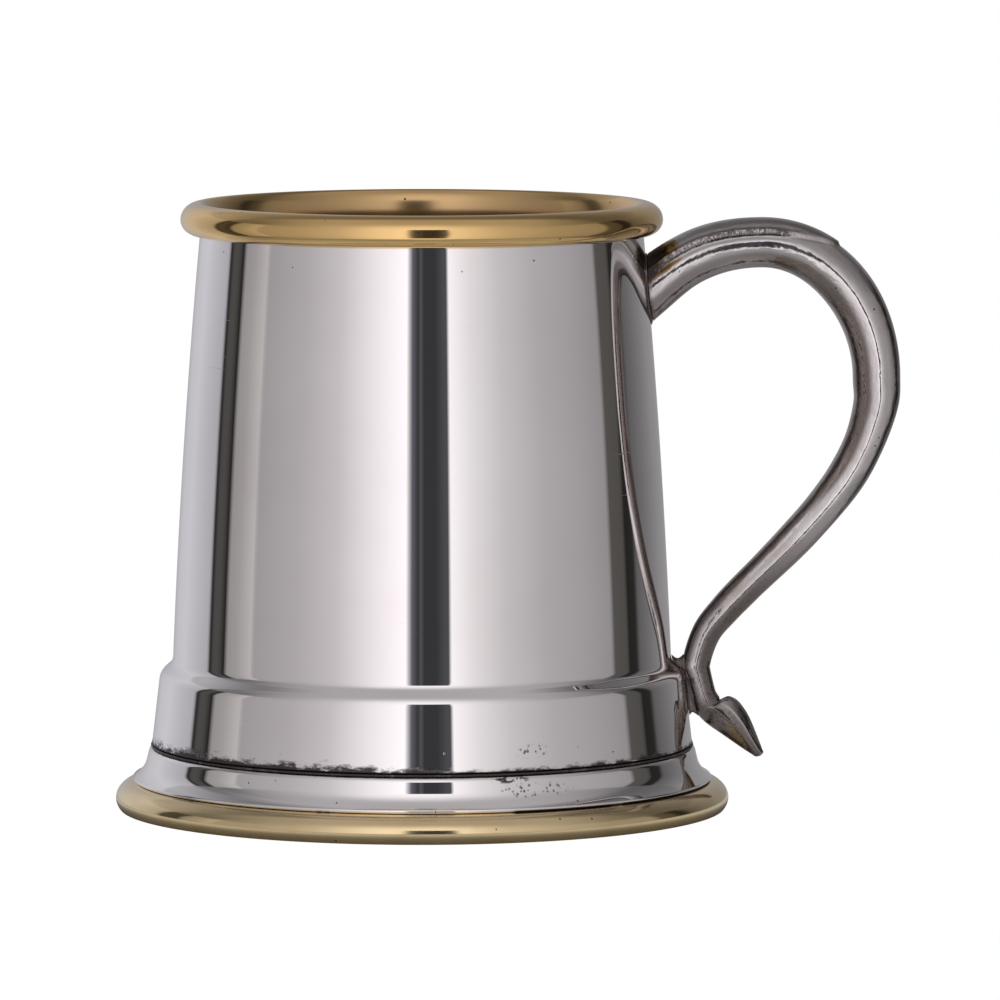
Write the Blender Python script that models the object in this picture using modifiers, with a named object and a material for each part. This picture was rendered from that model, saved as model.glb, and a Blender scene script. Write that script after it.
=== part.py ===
"""Pewter pint mug with a brass rim ring and a brass foot ring.

Metres, +Z up. The pieces are modelled about the barrel's axis, with the handle
towards +X and the table at Z = 0. The empty that carries them shifts the whole
mug so that the origin lies under the middle of its footprint.
"""
import math

import bmesh
import bpy
from mathutils import Vector

# Fit and fineness
GAP = 0.0003                 # clearance between pieces that touch
TURN_STEPS = 64              # facets round each turned piece
ARC_STEPS = 6                # facets along a quarter round
WALL_STEPS = 6               # facets along the barrel's long taper
ROLL_STEPS = 3               # facets along the roll at the foot's top
SIDE_STEPS = 5               # facets of a handle section from strap to front
RUN_STEPS = 12               # sections along each run of the handle
PAD_SECTIONS = 6             # sections of the root that shape its solder pad
WELD_REACH = 0.00001         # distance at which turned points are merged

# Barrel: a spun pewter tube with a stepped lower band
BARREL_H = 0.0946            # height of the tube
BARREL_WALL = 0.0017
BARREL_TOP_R = 0.0409        # outer radius at the top edge
BARREL_TAPER = 0.0052        # growth in radius from the top edge to the step
BARREL_SWELL = 0.0005        # how far the taper bows out at half height
STEP_OUT = 0.0027            # growth in radius across the ogee step
STEP_H = 0.0051
BAND_H = 0.0117              # height of the band below the step
BAND_FLARE = 0.0014          # growth in radius down the band

# Brass rim ring: a half-round bead that sits over the barrel's top edge
RIM_BEAD = 0.0036            # how far the bead stands out from the barrel
RIM_LIP = 0.0008             # how far the bead reaches down past the top edge
RIM_WAIST = 0.0032           # height from the lip to the bead's widest line
RIM_CROWN = 0.0032           # height from the widest line to the crest
RIM_EASE = 0.0044            # drop of the flare between crest and inside face
RIM_CREST_OUT = 0.0002       # how far the crest lies outside the barrel's radius

# Pewter foot: a cavetto skirt with a spigot that enters the barrel
FOOT_RISE = 0.0050           # height of the cavetto between ring and seam
FOOT_PROUD = 0.0007          # how far the foot's top roll stands out past the band
FOOT_ROLL = 0.0006           # radius of the roll at the foot's top
FOOT_FLARE = 0.0029          # growth in radius down the cavetto
FOOT_HOLLOWNESS = 1.7        # exponent of the cavetto's curve
FOOT_WALL = 0.0016
SKIRT_LIFT = 0.0008          # clearance of the hidden skirt above the table
SPIGOT_H = 0.0022            # height of the spigot inside the barrel

# Brass foot ring: a half-round ring worn flat underneath
FOOT_RING_SECTION_R = 0.0033
FOOT_RING_FLAT = 0.0012      # depth of the flat on the ring's underside
FOOT_RING_LEDGE = 0.0019     # width of the ledge that carries the foot's lip
FOOT_LIP_OVERHANG = 0.0003   # how far the foot's lip passes the ledge

# Solder between barrel and foot, and round the drinking floor
SEAM_T = 0.0007
SEAM_PROUD = 0.0002          # how far the seam stands out past the band
FLOOR_T = 0.0018
FLOOR_FILLET = 0.0016
FILLET_HOLLOW = 0.3          # thickness at the fillet's middle, as a share of its legs

# Handle: a cast scroll with a strap along its back and a hoof at its tail
HANDLE_ROOT_DROP = 0.0110    # root centre below the barrel's top edge
HANDLE_ROOT_ANGLE = math.radians(41.0)
HANDLE_ROOT_RUN = 0.0067     # length of the root's straight lead
HANDLE_SINK = 0.0045         # how far the uncut root runs back into the barrel
HANDLE_ARCH_OUT = 0.0220     # arch crown, out from the barrel's top radius
HANDLE_ARCH_RISE = 0.0089    # arch crown above the root
HANDLE_ARCH_LEAD = 0.0139    # length of the level lead into the crown
HANDLE_REACH_OUT = 0.0431    # grip line, out from the barrel's top radius
HANDLE_REACH_DROP = 0.0249   # widest point of the grip below the crown
HANDLE_SEAT_RISE = 0.0140    # lower seat above the barrel's bottom edge
GRIP_LEAD = 0.0256           # length of the upright lead out of the grip
SEAT_LEAD = 0.0166           # length of the upright lead into the seat
ROUND_LEAD = 0.55            # lead of a quarter round, per unit of its side

# Handle sections: half heights in the handle's plane, and half widths across it
ROOT_HALF, ROOT_WIDE = 0.0047, 0.0056
CROWN_HALF, CROWN_WIDE = 0.0044, 0.0054
GRIP_HALF, GRIP_WIDE = 0.0043, 0.0050
WAIST_HALF, WAIST_WIDE = 0.0033, 0.0040
SEAT_HALF, SEAT_WIDE = 0.0025, 0.0027
STRAP_H = 0.0005             # how far the strap stands proud of the handle's back
STRAP_ANGLE = math.radians(62.0)   # half of the arc that the strap covers
STRAP_EDGE = math.radians(7.0)     # arc over which the strap's edge falls away
STRAP_END = 0.42             # strap's tip, as a share of the crown-to-grip run
STRAP_FADE = 0.1             # length over which the tip sinks in, as a share of that run

# Tail: back edge and front edge of each section from the seat, and half width
TAIL = (
    ((0.0025, -0.0038), (-0.0018, -0.0045), 0.0027),
    ((0.0035, -0.0059), (-0.0002, -0.0090), 0.0029),
    ((0.0037, -0.0060), (0.0004, -0.0097), 0.0030),
    ((0.0053, -0.0055), (0.0011, -0.0102), 0.0036),
    ((0.0073, -0.0068), (0.0030, -0.0115), 0.0039),
    ((0.0085, -0.0088), (0.0050, -0.0129), 0.0036),
    ((0.0103, -0.0128), (0.0077, -0.0149), 0.0023),
    ((0.0113, -0.0157), (0.0100, -0.0167), 0.0008),
)

# Solder that holds the handle
ROOT_SOLDER_T = 0.0008       # pad between the root and the barrel
ROOT_SOLDER_LIP = 0.0005     # how far the pad shows round the root
SEAT_SOLDER_IN = 0.0006      # how far the web's sides lie inside the handle's
SEAT_SOLDER_UP = 0.0017      # web above the seat
SEAT_SOLDER_DOWN = 0.0086    # web below the seat

# Heights that follow from the sizes above
ring_top_z = 2 * FOOT_RING_SECTION_R - FOOT_RING_FLAT
lip_z = ring_top_z + GAP
seat_z = lip_z + FOOT_RISE
seam_low_z = seat_z + GAP
barrel_low_z = seam_low_z + SEAM_T + GAP
barrel_top_z = barrel_low_z + BARREL_H
band_top_z = barrel_low_z + BAND_H
step_top_z = band_top_z + STEP_H

# Radii that follow from the sizes above
step_top_r = BARREL_TOP_R + BARREL_TAPER
band_top_r = step_top_r + STEP_OUT
band_low_r = band_top_r + BAND_FLARE
neck_r = band_low_r + FOOT_PROUD
lip_r = neck_r + FOOT_FLARE
ring_centre_r = lip_r - FOOT_LIP_OVERHANG
ring_outer_r = ring_centre_r + FOOT_RING_SECTION_R
ring_inner_r = ring_centre_r - FOOT_RING_LEDGE
spigot_r = band_low_r - BARREL_WALL - GAP

# Finishes: name, colour, metallic, roughness
PEWTER = ("polished_pewter", (0.80, 0.78, 0.79), 1.0, 0.08)
CAST_PEWTER = ("cast_pewter", (0.62, 0.59, 0.58), 1.0, 0.24)
BRASS = ("polished_brass", (0.78, 0.60, 0.33), 1.0, 0.16)
SOLDER = ("oxidised_solder", (0.20, 0.18, 0.17), 1.0, 0.45)


def clear_scene():
    """Remove every object of the scene the script starts in."""
    for old in list(bpy.data.objects):
        bpy.data.objects.remove(old, do_unlink=True)


def new_collection(name):
    """Make a collection in the scene."""
    group = bpy.data.collections.new(name)
    bpy.context.scene.collection.children.link(group)
    return group


def finish(spec):
    """Make a Principled material from a finish."""
    name, colour, metallic, roughness = spec
    material = bpy.data.materials.new(name)
    material.use_nodes = True
    shader = material.node_tree.nodes["Principled BSDF"]
    shader.inputs["Base Color"].default_value = (*colour, 1.0)
    shader.inputs["Metallic"].default_value = metallic
    shader.inputs["Roughness"].default_value = roughness
    return material


def add_object(name, mesh, group, carrier, spec=None):
    """Put a mesh into the scene as a piece, or as a cutter where it has no finish."""
    piece = bpy.data.objects.new(name, mesh)
    group.objects.link(piece)
    piece.parent = carrier
    if spec is None:
        piece.hide_render = True
        piece.display_type = "WIRE"
    else:
        mesh.materials.append(finish(spec))
    return piece


def turned(name, profile, group, carrier, spec=None, closed=True):
    """Turn a profile of (radius, height) points about Z with a Screw modifier."""
    mesh = bpy.data.meshes.new(name)
    edges = [(i, i + 1) for i in range(len(profile) - 1)]
    if closed:
        edges.append((len(profile) - 1, 0))
    mesh.from_pydata([(r, 0.0, z) for r, z in profile], edges, [])
    piece = add_object(name, mesh, group, carrier, spec)
    screw = piece.modifiers.new("turn", "SCREW")
    screw.axis = "Z"
    screw.steps = TURN_STEPS
    screw.render_steps = TURN_STEPS
    screw.use_merge_vertices = True
    screw.merge_threshold = WELD_REACH
    screw.use_smooth_shade = True
    return piece


def quarter(centre, across, up, start, steps=ARC_STEPS):
    """Points of a quarter ellipse that runs clockwise from the angle start."""
    points = []
    for i in range(steps + 1):
        angle = start - math.radians(90.0) * i / steps
        points.append((centre[0] + across * math.cos(angle), centre[1] + up * math.sin(angle)))
    return points


def barrel_r(z):
    """Outer radius of the barrel at a height."""
    if z >= step_top_z:
        share = (barrel_top_z - z) / (barrel_top_z - step_top_z)
        return BARREL_TOP_R + BARREL_TAPER * share + 4 * BARREL_SWELL * share * (1 - share)
    if z >= band_top_z:
        share = (step_top_z - z) / STEP_H
        return step_top_r + STEP_OUT * share * share * (3 - 2 * share)
    return band_top_r + BAND_FLARE * (band_top_z - z) / BAND_H


def barrel_levels():
    """Heights of the barrel's profile points, from the top edge down."""
    taper = [barrel_top_z - (barrel_top_z - step_top_z) * i / WALL_STEPS for i in range(WALL_STEPS)]
    step = [step_top_z - STEP_H * i / ARC_STEPS for i in range(ARC_STEPS + 1)]
    return taper + step + [barrel_low_z]


def barrel_profile(outside, inside):
    """Closed profile of a wall between two offsets from the barrel's outer face."""
    levels = barrel_levels()
    down = [(barrel_r(z) + outside, z) for z in levels]
    return down + [(barrel_r(z) + inside, z) for z in reversed(levels)]


def rim_profile():
    """Half-round bead with a rebate underneath for the barrel's top edge."""
    lip_low_z = barrel_top_z - RIM_LIP
    widest_z = lip_low_z + RIM_WAIST
    crest_z = widest_z + RIM_CROWN
    rebate_r = barrel_r(lip_low_z) + GAP
    inner_r = BARREL_TOP_R - BARREL_WALL
    crest_r = BARREL_TOP_R + RIM_CREST_OUT
    outer_r = BARREL_TOP_R + RIM_BEAD
    right = math.radians(90.0)
    crown = quarter((crest_r, widest_z), outer_r - crest_r, RIM_CROWN, right)
    under = quarter((rebate_r, widest_z), outer_r - rebate_r, RIM_WAIST, 0.0)
    ease = quarter((crest_r, crest_z - RIM_EASE), crest_r - inner_r, RIM_EASE, 2 * right)
    rebate = [(rebate_r, barrel_top_z + GAP), (inner_r, barrel_top_z + GAP)]
    return crown + under[1:] + rebate + ease[:-1]


def foot_profile():
    """Spigot, seat, top roll, cavetto, lip and the skirt hidden in the foot ring."""
    spigot_in = spigot_r - FOOT_WALL
    skirt_r = ring_inner_r - GAP
    skirt_in = skirt_r - FOOT_WALL
    roll_z = seat_z - FOOT_ROLL
    roll = quarter((neck_r - FOOT_ROLL, roll_z), FOOT_ROLL, FOOT_ROLL, math.radians(90.0), ROLL_STEPS)
    cavetto = []
    for i in range(1, ARC_STEPS + 1):
        share = i / ARC_STEPS
        cavetto.append((neck_r + FOOT_FLARE * share ** FOOT_HOLLOWNESS, roll_z - (roll_z - lip_z) * share))
    outside = [(spigot_r, seat_z + SPIGOT_H), (spigot_r, seat_z)] + roll + cavetto
    skirt = [(skirt_r, lip_z), (skirt_r, SKIRT_LIFT), (skirt_in, SKIRT_LIFT), (skirt_in, lip_z)]
    return outside + skirt + [(spigot_in, seat_z - FOOT_WALL), (spigot_in, seat_z + SPIGOT_H)]


def foot_ring_profile():
    """Half-round section, flat on the table and on the ledge under the foot's lip."""
    centre_z = FOOT_RING_SECTION_R - FOOT_RING_FLAT
    low = -math.asin(centre_z / FOOT_RING_SECTION_R)
    high = math.radians(90.0)
    points = []
    for i in range(2 * ARC_STEPS + 1):
        angle = high + (low - high) * i / (2 * ARC_STEPS)
        points.append((ring_centre_r + FOOT_RING_SECTION_R * math.cos(angle),
                       centre_z + FOOT_RING_SECTION_R * math.sin(angle)))
    points[-1] = (points[-1][0], 0.0)
    return points + [(ring_inner_r, 0.0), (ring_inner_r, ring_top_z)]


def floor_profile():
    """Half profile of the drinking floor, a disc carried by the foot's spigot."""
    low_z = seat_z + SPIGOT_H + GAP
    top_z = low_z + FLOOR_T
    edge_r = barrel_r(top_z) - BARREL_WALL - GAP
    return [(0.0, top_z), (edge_r, top_z), (edge_r, low_z), (0.0, low_z)]


def floor_fillet_profile():
    """Solder fillet in the corner between the drinking floor and the barrel."""
    low_z = seat_z + SPIGOT_H + FLOOR_T + 2 * GAP
    top_z = low_z + FLOOR_FILLET
    wall_top_r = barrel_r(top_z) - BARREL_WALL - GAP
    corner_r = barrel_r(low_z) - BARREL_WALL - GAP
    hollow = (corner_r - FILLET_HOLLOW * FLOOR_FILLET, low_z + FILLET_HOLLOW * FLOOR_FILLET)
    return [(wall_top_r, top_z), (corner_r, low_z), (corner_r - FLOOR_FILLET, low_z), hollow]


def bezier(a, b, c, d, steps):
    """Points along a cubic Bezier curve, without its last point."""
    points = []
    for i in range(steps):
        t = i / steps
        u = 1 - t
        points.append(a * u ** 3 + b * 3 * u * u * t + c * 3 * u * t * t + d * t ** 3)
    return points


def handle_knots():
    """Root, crown, grip and seat of the handle's centre line, as (x, z) points."""
    root_z = barrel_top_z - HANDLE_ROOT_DROP
    root = Vector((barrel_r(root_z), root_z))
    crown = Vector((BARREL_TOP_R + HANDLE_ARCH_OUT, root_z + HANDLE_ARCH_RISE))
    grip = Vector((BARREL_TOP_R + HANDLE_REACH_OUT, crown.y - HANDLE_REACH_DROP))
    seat = Vector((band_top_r + GAP + SEAT_HALF, barrel_low_z + HANDLE_SEAT_RISE))
    return root, crown, grip, seat


def handle_line():
    """Centre points of the handle from inside the barrel to the lower seat."""
    root, crown, grip, seat = handle_knots()
    lead = Vector((math.cos(HANDLE_ROOT_ANGLE), math.sin(HANDLE_ROOT_ANGLE)))
    start = root - lead * HANDLE_SINK
    level = Vector((1.0, 0.0))
    upright = Vector((0.0, 1.0))
    side = grip.x - crown.x
    first = bezier(root, root + lead * HANDLE_ROOT_RUN, crown - level * HANDLE_ARCH_LEAD, crown, RUN_STEPS)
    second = bezier(crown, crown + level * ROUND_LEAD * side,
                    grip + upright * ROUND_LEAD * HANDLE_REACH_DROP, grip, RUN_STEPS)
    third = bezier(grip, grip - upright * GRIP_LEAD, seat + upright * SEAT_LEAD, seat, 2 * RUN_STEPS)
    return [start] + first + second + third + [seat]


def smooth(share):
    """Ease from 0 to 1."""
    share = min(max(share, 0.0), 1.0)
    return share * share * (3 - 2 * share)


def between(values, place):
    """Value at a place along a row of evenly spaced values, eased between them."""
    i = min(int(place), len(values) - 2)
    return values[i] + (values[i + 1] - values[i]) * smooth(place - i)


def section(back, front, wide, strap):
    """One closed section: an oval from back edge to front edge, with its raised strap."""
    centre = (back + front) / 2
    half = (back - front) / 2
    reach = half.length
    angles = [0.0, STRAP_ANGLE / 2, STRAP_ANGLE, STRAP_ANGLE + STRAP_EDGE]
    rest = math.pi - angles[-1]
    angles += [angles[-1] + rest * i / SIDE_STEPS for i in range(1, SIDE_STEPS + 1)]
    angles += [-a for a in reversed(angles[1:-1])]
    ring = []
    for a in angles:
        drop = strap if STRAP_ANGLE + STRAP_EDGE / 2 < abs(a) < math.pi / 2 else 0.0
        high = centre + half * (math.cos(a) * (reach - drop) / reach)
        ring.append(Vector((high.x, math.sin(a) * (wide - drop), high.y)))
    return ring


def handle_sections(grow):
    """Sections along the whole handle, each grown outwards by grow."""
    line = handle_line()
    halves = (ROOT_HALF, CROWN_HALF, GRIP_HALF, WAIST_HALF, SEAT_HALF)
    wides = (ROOT_WIDE, CROWN_WIDE, GRIP_WIDE, WAIST_WIDE, SEAT_WIDE)
    rings = []
    for i, point in enumerate(line):
        ahead = line[min(i + 1, len(line) - 1)]
        behind = line[max(i - 1, 0)]
        along = (ahead - behind).normalized()
        if i == len(line) - 1:
            along = Vector((0.0, -1.0))
        across = Vector((-along.y, along.x))
        place = max(i - 1, 0) / RUN_STEPS
        half = between(halves, place) + grow
        strap = STRAP_H * (1 - smooth((place - 1 - STRAP_END + STRAP_FADE) / STRAP_FADE))
        back = point + across * (half + strap)
        rings.append(section(back, point - across * half, between(wides, place) + grow, strap))
    seat = line[-1]
    for back, front, wide in TAIL:
        out = (Vector(back) - Vector(front)).normalized() * grow
        rings.append(section(seat + Vector(back) + out, seat + Vector(front) - out, wide + grow, 0.0))
    return rings


def lofted(name, rings, group, carrier, spec=None):
    """Skin a row of sections and close both ends."""
    shape = bmesh.new()
    rows = [[shape.verts.new(point) for point in ring] for ring in rings]
    count = len(rows[0])
    for one, two in zip(rows, rows[1:]):
        for i in range(count):
            j = (i + 1) % count
            shape.faces.new((one[i], one[j], two[j], two[i]))
    shape.faces.new(rows[0])
    shape.faces.new(rows[-1])
    bmesh.ops.triangulate(shape, faces=shape.faces[:])
    bmesh.ops.recalc_face_normals(shape, faces=shape.faces[:])
    mesh = bpy.data.meshes.new(name)
    shape.to_mesh(mesh)
    shape.free()
    mesh.shade_smooth()
    return add_object(name, mesh, group, carrier, spec)


def block(name, low, high, group, carrier, spec=None):
    """Box between two corners."""
    shape = bmesh.new()
    bmesh.ops.create_cube(shape, size=1.0)
    bmesh.ops.scale(shape, vec=high - low, verts=shape.verts[:])
    bmesh.ops.translate(shape, vec=(high + low) / 2, verts=shape.verts[:])
    mesh = bpy.data.meshes.new(name)
    shape.to_mesh(mesh)
    shape.free()
    return add_object(name, mesh, group, carrier, spec)


def cut(piece, cutter, operation="DIFFERENCE"):
    """Shape a piece with a cutter."""
    boolean = piece.modifiers.new(operation.lower(), "BOOLEAN")
    boolean.operation = operation
    boolean.object = cutter
    boolean.solver = "EXACT"


def core(name, offset, group, carrier):
    """Solid of everything within an offset of the barrel's outer face, as a cutter."""
    levels = barrel_levels()
    face = [(barrel_r(z) + offset, z) for z in levels]
    profile = [(0.0, barrel_top_z)] + face + [(0.0, barrel_low_z)]
    return turned(name, profile, group, carrier, closed=False)


def build_handle(parts, cutters, carrier):
    """Handle, its root pad and its lower web, cut to the barrel and to each other."""
    wall = core("wall_cutter", GAP, cutters, carrier)
    pad_face = core("pad_cutter", 2 * GAP + ROOT_SOLDER_T, cutters, carrier)
    handle = lofted("handle", handle_sections(0.0), parts, carrier, CAST_PEWTER)
    cut(handle, pad_face)

    root_rings = handle_sections(ROOT_SOLDER_LIP)[:PAD_SECTIONS]
    pad = lofted("root_solder", root_rings, parts, carrier, SOLDER)
    pad_layer = turned("pad_layer", barrel_profile(GAP + ROOT_SOLDER_T, GAP), cutters, carrier)
    cut(pad, pad_layer, "INTERSECT")

    seat = handle_knots()[-1]
    side = SEAT_WIDE - SEAT_SOLDER_IN
    low = Vector((barrel_r(step_top_z) - BARREL_WALL, -side, seat.y - SEAT_SOLDER_DOWN))
    high = Vector((seat.x, side, seat.y + SEAT_SOLDER_UP))
    web = block("seat_solder", low, high, parts, carrier, SOLDER)
    grown = lofted("handle_cutter", handle_sections(GAP), cutters, carrier)
    cut(web, wall)
    cut(web, grown)


def build():
    """Model every piece of the mug."""
    clear_scene()
    parts = new_collection("pewter_mug")
    cutters = new_collection("cutters")
    carrier = bpy.data.objects.new("mug_axis", None)
    parts.objects.link(carrier)
    grip_x = handle_knots()[2].x + GRIP_HALF
    carrier.location.x = (ring_outer_r - grip_x) / 2

    turned("barrel", barrel_profile(0.0, -BARREL_WALL), parts, carrier, PEWTER)
    turned("rim_ring", rim_profile(), parts, carrier, BRASS)
    turned("foot", foot_profile(), parts, carrier, PEWTER)
    turned("foot_ring", foot_ring_profile(), parts, carrier, BRASS)
    turned("drinking_floor", floor_profile(), parts, carrier, PEWTER, closed=False)
    turned("floor_solder", floor_fillet_profile(), parts, carrier, SOLDER)
    seam_top_z = seam_low_z + SEAM_T
    seam_out = band_low_r + SEAM_PROUD
    seam_in = spigot_r + GAP
    seam = [(seam_out, seam_top_z), (seam_out, seam_low_z), (seam_in, seam_low_z), (seam_in, seam_top_z)]
    turned("foot_solder", seam, parts, carrier, SOLDER)
    build_handle(parts, cutters, carrier)


build()
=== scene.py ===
"""Dressed pewter pint mug: polished barrel and foot, brass rings, cast scroll handle.

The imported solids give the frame: metres, +Z up, the handle towards +X and the
table at Z = 0. Every turned piece shares the barrel's axis.
"""
from __future__ import annotations

import logging
import math
from dataclasses import dataclass
from enum import Enum
from typing import Any, Callable, Optional, Sequence, Union

import bmesh
import bpy
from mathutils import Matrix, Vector, noise


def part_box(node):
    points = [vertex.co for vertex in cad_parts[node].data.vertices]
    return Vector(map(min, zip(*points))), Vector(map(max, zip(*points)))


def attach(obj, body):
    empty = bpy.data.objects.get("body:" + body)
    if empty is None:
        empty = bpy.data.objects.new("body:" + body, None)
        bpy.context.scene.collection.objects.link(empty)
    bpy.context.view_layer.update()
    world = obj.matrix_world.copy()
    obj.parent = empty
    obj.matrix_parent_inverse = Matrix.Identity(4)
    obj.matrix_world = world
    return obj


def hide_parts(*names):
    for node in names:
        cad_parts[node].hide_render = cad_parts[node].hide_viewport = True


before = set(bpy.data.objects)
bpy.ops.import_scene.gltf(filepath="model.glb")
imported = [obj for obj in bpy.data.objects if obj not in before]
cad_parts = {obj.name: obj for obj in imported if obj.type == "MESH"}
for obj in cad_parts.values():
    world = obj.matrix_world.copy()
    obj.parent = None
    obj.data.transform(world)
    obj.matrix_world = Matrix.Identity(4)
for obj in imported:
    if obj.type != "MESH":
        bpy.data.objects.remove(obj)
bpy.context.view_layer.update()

log = logging.getLogger("pewter_mug")

BODY = "root"
Profile = list[tuple[float, float]]
Colour = tuple[float, float, float]
Scale = tuple[float, float, float]
Wobble = Callable[[float, float, float], tuple[float, float]]
Station = tuple[tuple[float, float], tuple[float, float], float]
BLACK: Colour = (0.0, 0.0, 0.0)
WHITE: Colour = (1.0, 1.0, 1.0)


class Slot(Enum):
    """Material slots of the record."""

    PEWTER = "polished_pewter"
    CAST = "cast_pewter"
    BRASS = "polished_brass"
    SOLDER = "oxidised_solder"


class Field:
    """An output socket that takes part in Python arithmetic."""

    def __init__(self, canvas: Canvas, socket: bpy.types.NodeSocket) -> None:
        """Wrap a socket of a canvas."""
        self.canvas = canvas
        self.socket = socket

    def _math(self, operation: str, first: Value, second: Value) -> Field:
        """Add a Math node for one operation on two values."""
        return self.canvas.node("ShaderNodeMath", {"operation": operation}, {0: first, 1: second})

    def __add__(self, other: Value) -> Field:
        """Sum."""
        return self._math("ADD", self, other)

    def __radd__(self, other: Value) -> Field:
        """Sum with a number in front."""
        return self._math("ADD", other, self)

    def __sub__(self, other: Value) -> Field:
        """Difference."""
        return self._math("SUBTRACT", self, other)

    def __rsub__(self, other: Value) -> Field:
        """Difference from a number."""
        return self._math("SUBTRACT", other, self)

    def __mul__(self, other: Value) -> Field:
        """Product."""
        return self._math("MULTIPLY", self, other)

    def __rmul__(self, other: Value) -> Field:
        """Product with a number in front."""
        return self._math("MULTIPLY", other, self)

    def __truediv__(self, other: Value) -> Field:
        """Quotient."""
        return self._math("DIVIDE", self, other)

    def __neg__(self) -> Field:
        """The same value below zero."""
        return self._math("MULTIPLY", self, -1.0)

    def most(self, other: Value) -> Field:
        """Larger of two values."""
        return self._math("MAXIMUM", self, other)

    def eased(self, low: Value, high: Value) -> Field:
        """Ease from 0 at low to 1 at high.

        Args:
            low: value at which the result is 0.
            high: value at which the result is 1, which may be below low.

        Returns:
            A value from 0 to 1.
        """
        settings = {"interpolation_type": "SMOOTHSTEP"}
        sockets = {"Value": self, "From Min": low, "From Max": high}
        return self.canvas.node("ShaderNodeMapRange", settings, sockets)

    def other(self, output: Union[str, int]) -> Field:
        """Another output of the same node."""
        return Field(self.canvas, self.socket.node.outputs[output])


Value = Union[Field, float]
Tint = Union[Field, Colour]


class Canvas:
    """A node tree that finishes and light are written on."""

    mix_inputs: tuple[int, int] = (6, 7)
    mix_output: int = 2
    speck_core: float = 0.6
    choice_edge: float = 0.001

    def __init__(self, tree: bpy.types.NodeTree) -> None:
        """Hold the tree."""
        self.tree = tree

    def node(
        self,
        kind: str,
        settings: Optional[dict[str, Any]] = None,
        sockets: Optional[dict[Union[str, int], Any]] = None,
        output: Union[str, int] = 0,
    ) -> Field:
        """Add a node.

        Args:
            kind: type of the node.
            settings: attributes that are set first; stops fill a colour ramp.
            sockets: values or links of its inputs, by name or number.
            output: output that is returned.

        Returns:
            The chosen output.
        """
        made = self.tree.nodes.new(kind)
        for name, value in (settings or {}).items():
            if name == "stops":
                self._fill_ramp(made.color_ramp, value)
            else:
                setattr(made, name, value)
        for key, value in (sockets or {}).items():
            if isinstance(value, Field):
                self.tree.links.new(value.socket, made.inputs[key])
            else:
                made.inputs[key].default_value = value
        return Field(self, made.outputs[output])

    @staticmethod
    def _fill_ramp(ramp: bpy.types.ColorRamp, stops: Sequence[tuple[float, Colour]]) -> None:
        """Replace a ramp's stops.

        Args:
            ramp: ramp to fill.
            stops: (place, colour) pairs in rising order.
        """
        while len(ramp.elements) > 1:
            ramp.elements.remove(ramp.elements[-1])
        ramp.elements[0].position = stops[0][0]
        ramp.elements[0].color = (*stops[0][1], 1.0)
        for place, colour in stops[1:]:
            ramp.elements.new(place).color = (*colour, 1.0)

    def place(self) -> Field:
        """Place on the object, in metres."""
        return self.node("ShaderNodeTexCoord", output="Object")

    def attribute(self, name: str, output: str = "Fac") -> Field:
        """A named attribute of the mesh."""
        return self.node("ShaderNodeAttribute", {"attribute_name": name}, output=output)

    def split(self, vector: Field) -> tuple[Field, Field, Field]:
        """The three parts of a vector."""
        first = self.node("ShaderNodeSeparateXYZ", sockets={0: vector})
        return first, first.other(1), first.other(2)

    def stretched(self, vector: Field, scale: Scale) -> Field:
        """A vector scaled along each axis."""
        return self.node("ShaderNodeVectorMath", {"operation": "MULTIPLY"}, {0: vector, 1: scale})

    def noise(self, vector: Field, scale: float, detail: float = 2.0, roughness: float = 0.5) -> Field:
        """Soft noise from 0 to 1."""
        sockets = {"Vector": vector, "Scale": scale, "Detail": detail, "Roughness": roughness}
        return self.node("ShaderNodeTexNoise", {"normalize": True}, sockets)

    def specks(self, vector: Field, scale: float, radius: float, share: float) -> Field:
        """Scattered round specks.

        Args:
            vector: coordinates.
            scale: cells per metre.
            radius: size of a speck, as a share of its cell.
            share: share of the cells that hold a speck.

        Returns:
            1 inside a speck, 0 outside.
        """
        cell = self.node("ShaderNodeTexVoronoi", {"feature": "F1"}, {"Vector": vector, "Scale": scale})
        chosen = self.split(cell.other("Color"))[0].eased(1 - share - self.choice_edge, 1 - share)
        return chosen * cell.eased(radius, radius * self.speck_core)

    def mix(self, factor: Value, first: Tint, second: Tint) -> Field:
        """Mix two colours.

        Args:
            factor: share of the second colour.
            first: colour at 0.
            second: colour at 1.

        Returns:
            The mixed colour.
        """
        sockets: dict[Union[str, int], Any] = {0: factor}
        for key, tint in zip(self.mix_inputs, (first, second)):
            sockets[key] = tint if isinstance(tint, Field) else (*tint, 1.0)
        return self.node("ShaderNodeMix", {"data_type": "RGBA"}, sockets, self.mix_output)

    def bump(self, height: Field, distance: float, under: Optional[Field] = None) -> Field:
        """Normal of a relief.

        Args:
            height: relief from 0 to 1.
            distance: depth of the relief in metres.
            under: normal that the relief lies on.

        Returns:
            The new normal.
        """
        sockets: dict[Union[str, int], Any] = {"Height": height, "Distance": distance, "Strength": 1.0}
        if under is not None:
            sockets["Normal"] = under
        return self.node("ShaderNodeBump", sockets=sockets)


@dataclass
class Surface:
    """What a finish gives to the shader."""

    colour: Field
    roughness: Field
    normal: Field
    metallic: float = 1.0


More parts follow.
